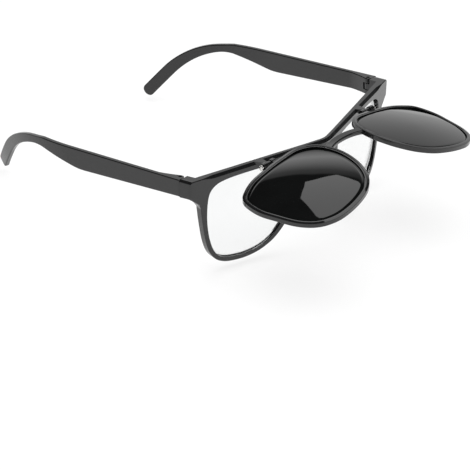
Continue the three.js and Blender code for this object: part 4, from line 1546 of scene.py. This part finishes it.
def studio_world():
    """A bright wall behind the goggles, low light on the other sides and a dark ceiling.

    The camera itself sees white.
    """
    world = bpy.data.worlds.new("studio")
    world.use_nodes = True
    tree = world.node_tree
    walls = tree.nodes["Background"]
    sides = tree.nodes.new("ShaderNodeBackground")
    white = tree.nodes.new("ShaderNodeBackground")
    for lit in (walls, sides):
        lit.inputs["Strength"].default_value = WALL_PEAK
    white.inputs["Color"].default_value = (1, 1, 1, 1)
    tree.links.new(fade_up(tree, WALL_LEAN, WALL_FADE), walls.inputs["Color"])
    tree.links.new(fade_up(tree, (0, 0, 1), SIDE_FADE), sides.inputs["Color"])
    sector = fade_up(tree, WALL_WAY, [(WALL_SIDES[0], 0), (WALL_SIDES[1], WALL_PEAK)])
    around = mixed(tree, sector, sides.outputs["Background"], walls.outputs["Background"])
    seen = tree.nodes.new("ShaderNodeLightPath").outputs["Is Camera Ray"]
    surface = mixed(tree, seen, around, white.outputs["Background"])
    tree.links.new(surface, tree.nodes["World Output"].inputs["Surface"])
    bpy.context.scene.world = world


def towards(elevation, bearing):
    """Direction at an elevation, with the bearing counted from +X to +Y."""
    e, b = radians(elevation), radians(bearing)
    return Vector((cos(e) * cos(b), cos(e) * sin(b), sin(e)))


def softbox(name, way, corners, light):
    """Flat softbox that faces the goggles."""
    mesh = bpy.data.meshes.new(name)
    mesh.from_pydata([(x, y, 0) for x, y in corners], [], [tuple(range(len(corners)))])
    material, tree, shader = node_material(name)
    glow = tree.nodes.new("ShaderNodeEmission")
    glow.inputs["Strength"].default_value = light
    tree.nodes.remove(shader)
    tree.links.new(glow.outputs["Emission"], tree.nodes["Material Output"].inputs["Surface"])
    mesh.materials.append(material)
    box = bpy.data.objects.new(name, mesh)
    box.location = way * SOFTBOX_DISTANCE
    box.rotation_euler = way.to_track_quat("Z", "Y").to_euler()
    box.visible_camera = False
    bpy.context.scene.collection.objects.link(box)


def overhead_lamp():
    """Wide lamp over the floor that doesn't show in the glossy faces."""
    light = bpy.data.lights.new("overhead", "AREA")
    light.size = OVERHEAD_SIZE
    light.energy = OVERHEAD_POWER
    lamp = bpy.data.objects.new("overhead", light)
    lamp.location = (0, 0, OVERHEAD_HEIGHT)
    lamp.visible_glossy = False
    lamp.visible_camera = False
    bpy.context.scene.collection.objects.link(lamp)


class GOGGLES_OT_stage(bpy.types.Operator):
    """White floor and studio, softboxes and camera"""

    bl_idname = "goggles.stage"
    bl_label = "Stage"

    def execute(self, context):
        scene = context.scene
        stage = scene.goggles_stage
        scene.view_settings.view_transform = "Standard"
        round_floor(stage)
        studio_world()
        softbox("main_softbox", towards(*MAIN_WAY), MAIN_CORNERS, MAIN_LIGHT)
        softbox("front_bank", towards(*BANK_WAY), BANK_CORNERS, BANK_LIGHT)
        overhead_lamp()
        camera = bpy.data.objects.new("camera", bpy.data.cameras.new("camera"))
        camera.data.lens = stage.lens
        camera.data.clip_end = CAMERA_FAR
        camera.location = CAMERA_PLACE
        camera.rotation_euler = [radians(a) for a in CAMERA_TURN]
        scene.collection.objects.link(camera)
        scene.camera = camera
        return {"FINISHED"}


OPERATORS = (
    GOGGLES_OT_front_frame,
    GOGGLES_OT_clear_lenses,
    GOGGLES_OT_temples,
    GOGGLES_OT_flip_front,
    GOGGLES_OT_dark_lenses,
    GOGGLES_OT_screws,
    GOGGLES_OT_stage,
)


class GOGGLES_PT_build(bpy.types.Panel):
    """Build steps and sizes of the goggles"""

    bl_idname = "GOGGLES_PT_build"
    bl_label = "Welding goggles"
    bl_space_type = "VIEW_3D"
    bl_region_type = "UI"
    bl_category = "Goggles"

    def draw(self, context):
        column = self.layout.column()
        for operator in OPERATORS:
            column.operator(operator.bl_idname)
        for name, group in GROUPS.items():
            box = self.layout.box()
            box.label(text=group.__doc__)
            for key in group.__annotations__:
                box.prop(getattr(context.scene, name), key)


def register():
    for group in GROUPS.values():
        bpy.utils.register_class(group)
    for name, group in GROUPS.items():
        setattr(bpy.types.Scene, name, PointerProperty(type=group))
    for item in (*OPERATORS, GOGGLES_PT_build):
        bpy.utils.register_class(item)


def unregister():
    for item in reversed((*OPERATORS, GOGGLES_PT_build)):
        bpy.utils.unregister_class(item)
    for name, group in GROUPS.items():
        delattr(bpy.types.Scene, name)
        bpy.utils.unregister_class(group)


def main():
    register()
    bpy.ops.goggles.front_frame()
    bpy.ops.goggles.clear_lenses()
    bpy.ops.goggles.temples()
    bpy.ops.goggles.flip_front()
    bpy.ops.goggles.dark_lenses()
    bpy.ops.goggles.screws()
    bpy.ops.goggles.stage()
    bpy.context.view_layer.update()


if __name__ == "__main__":
    main()
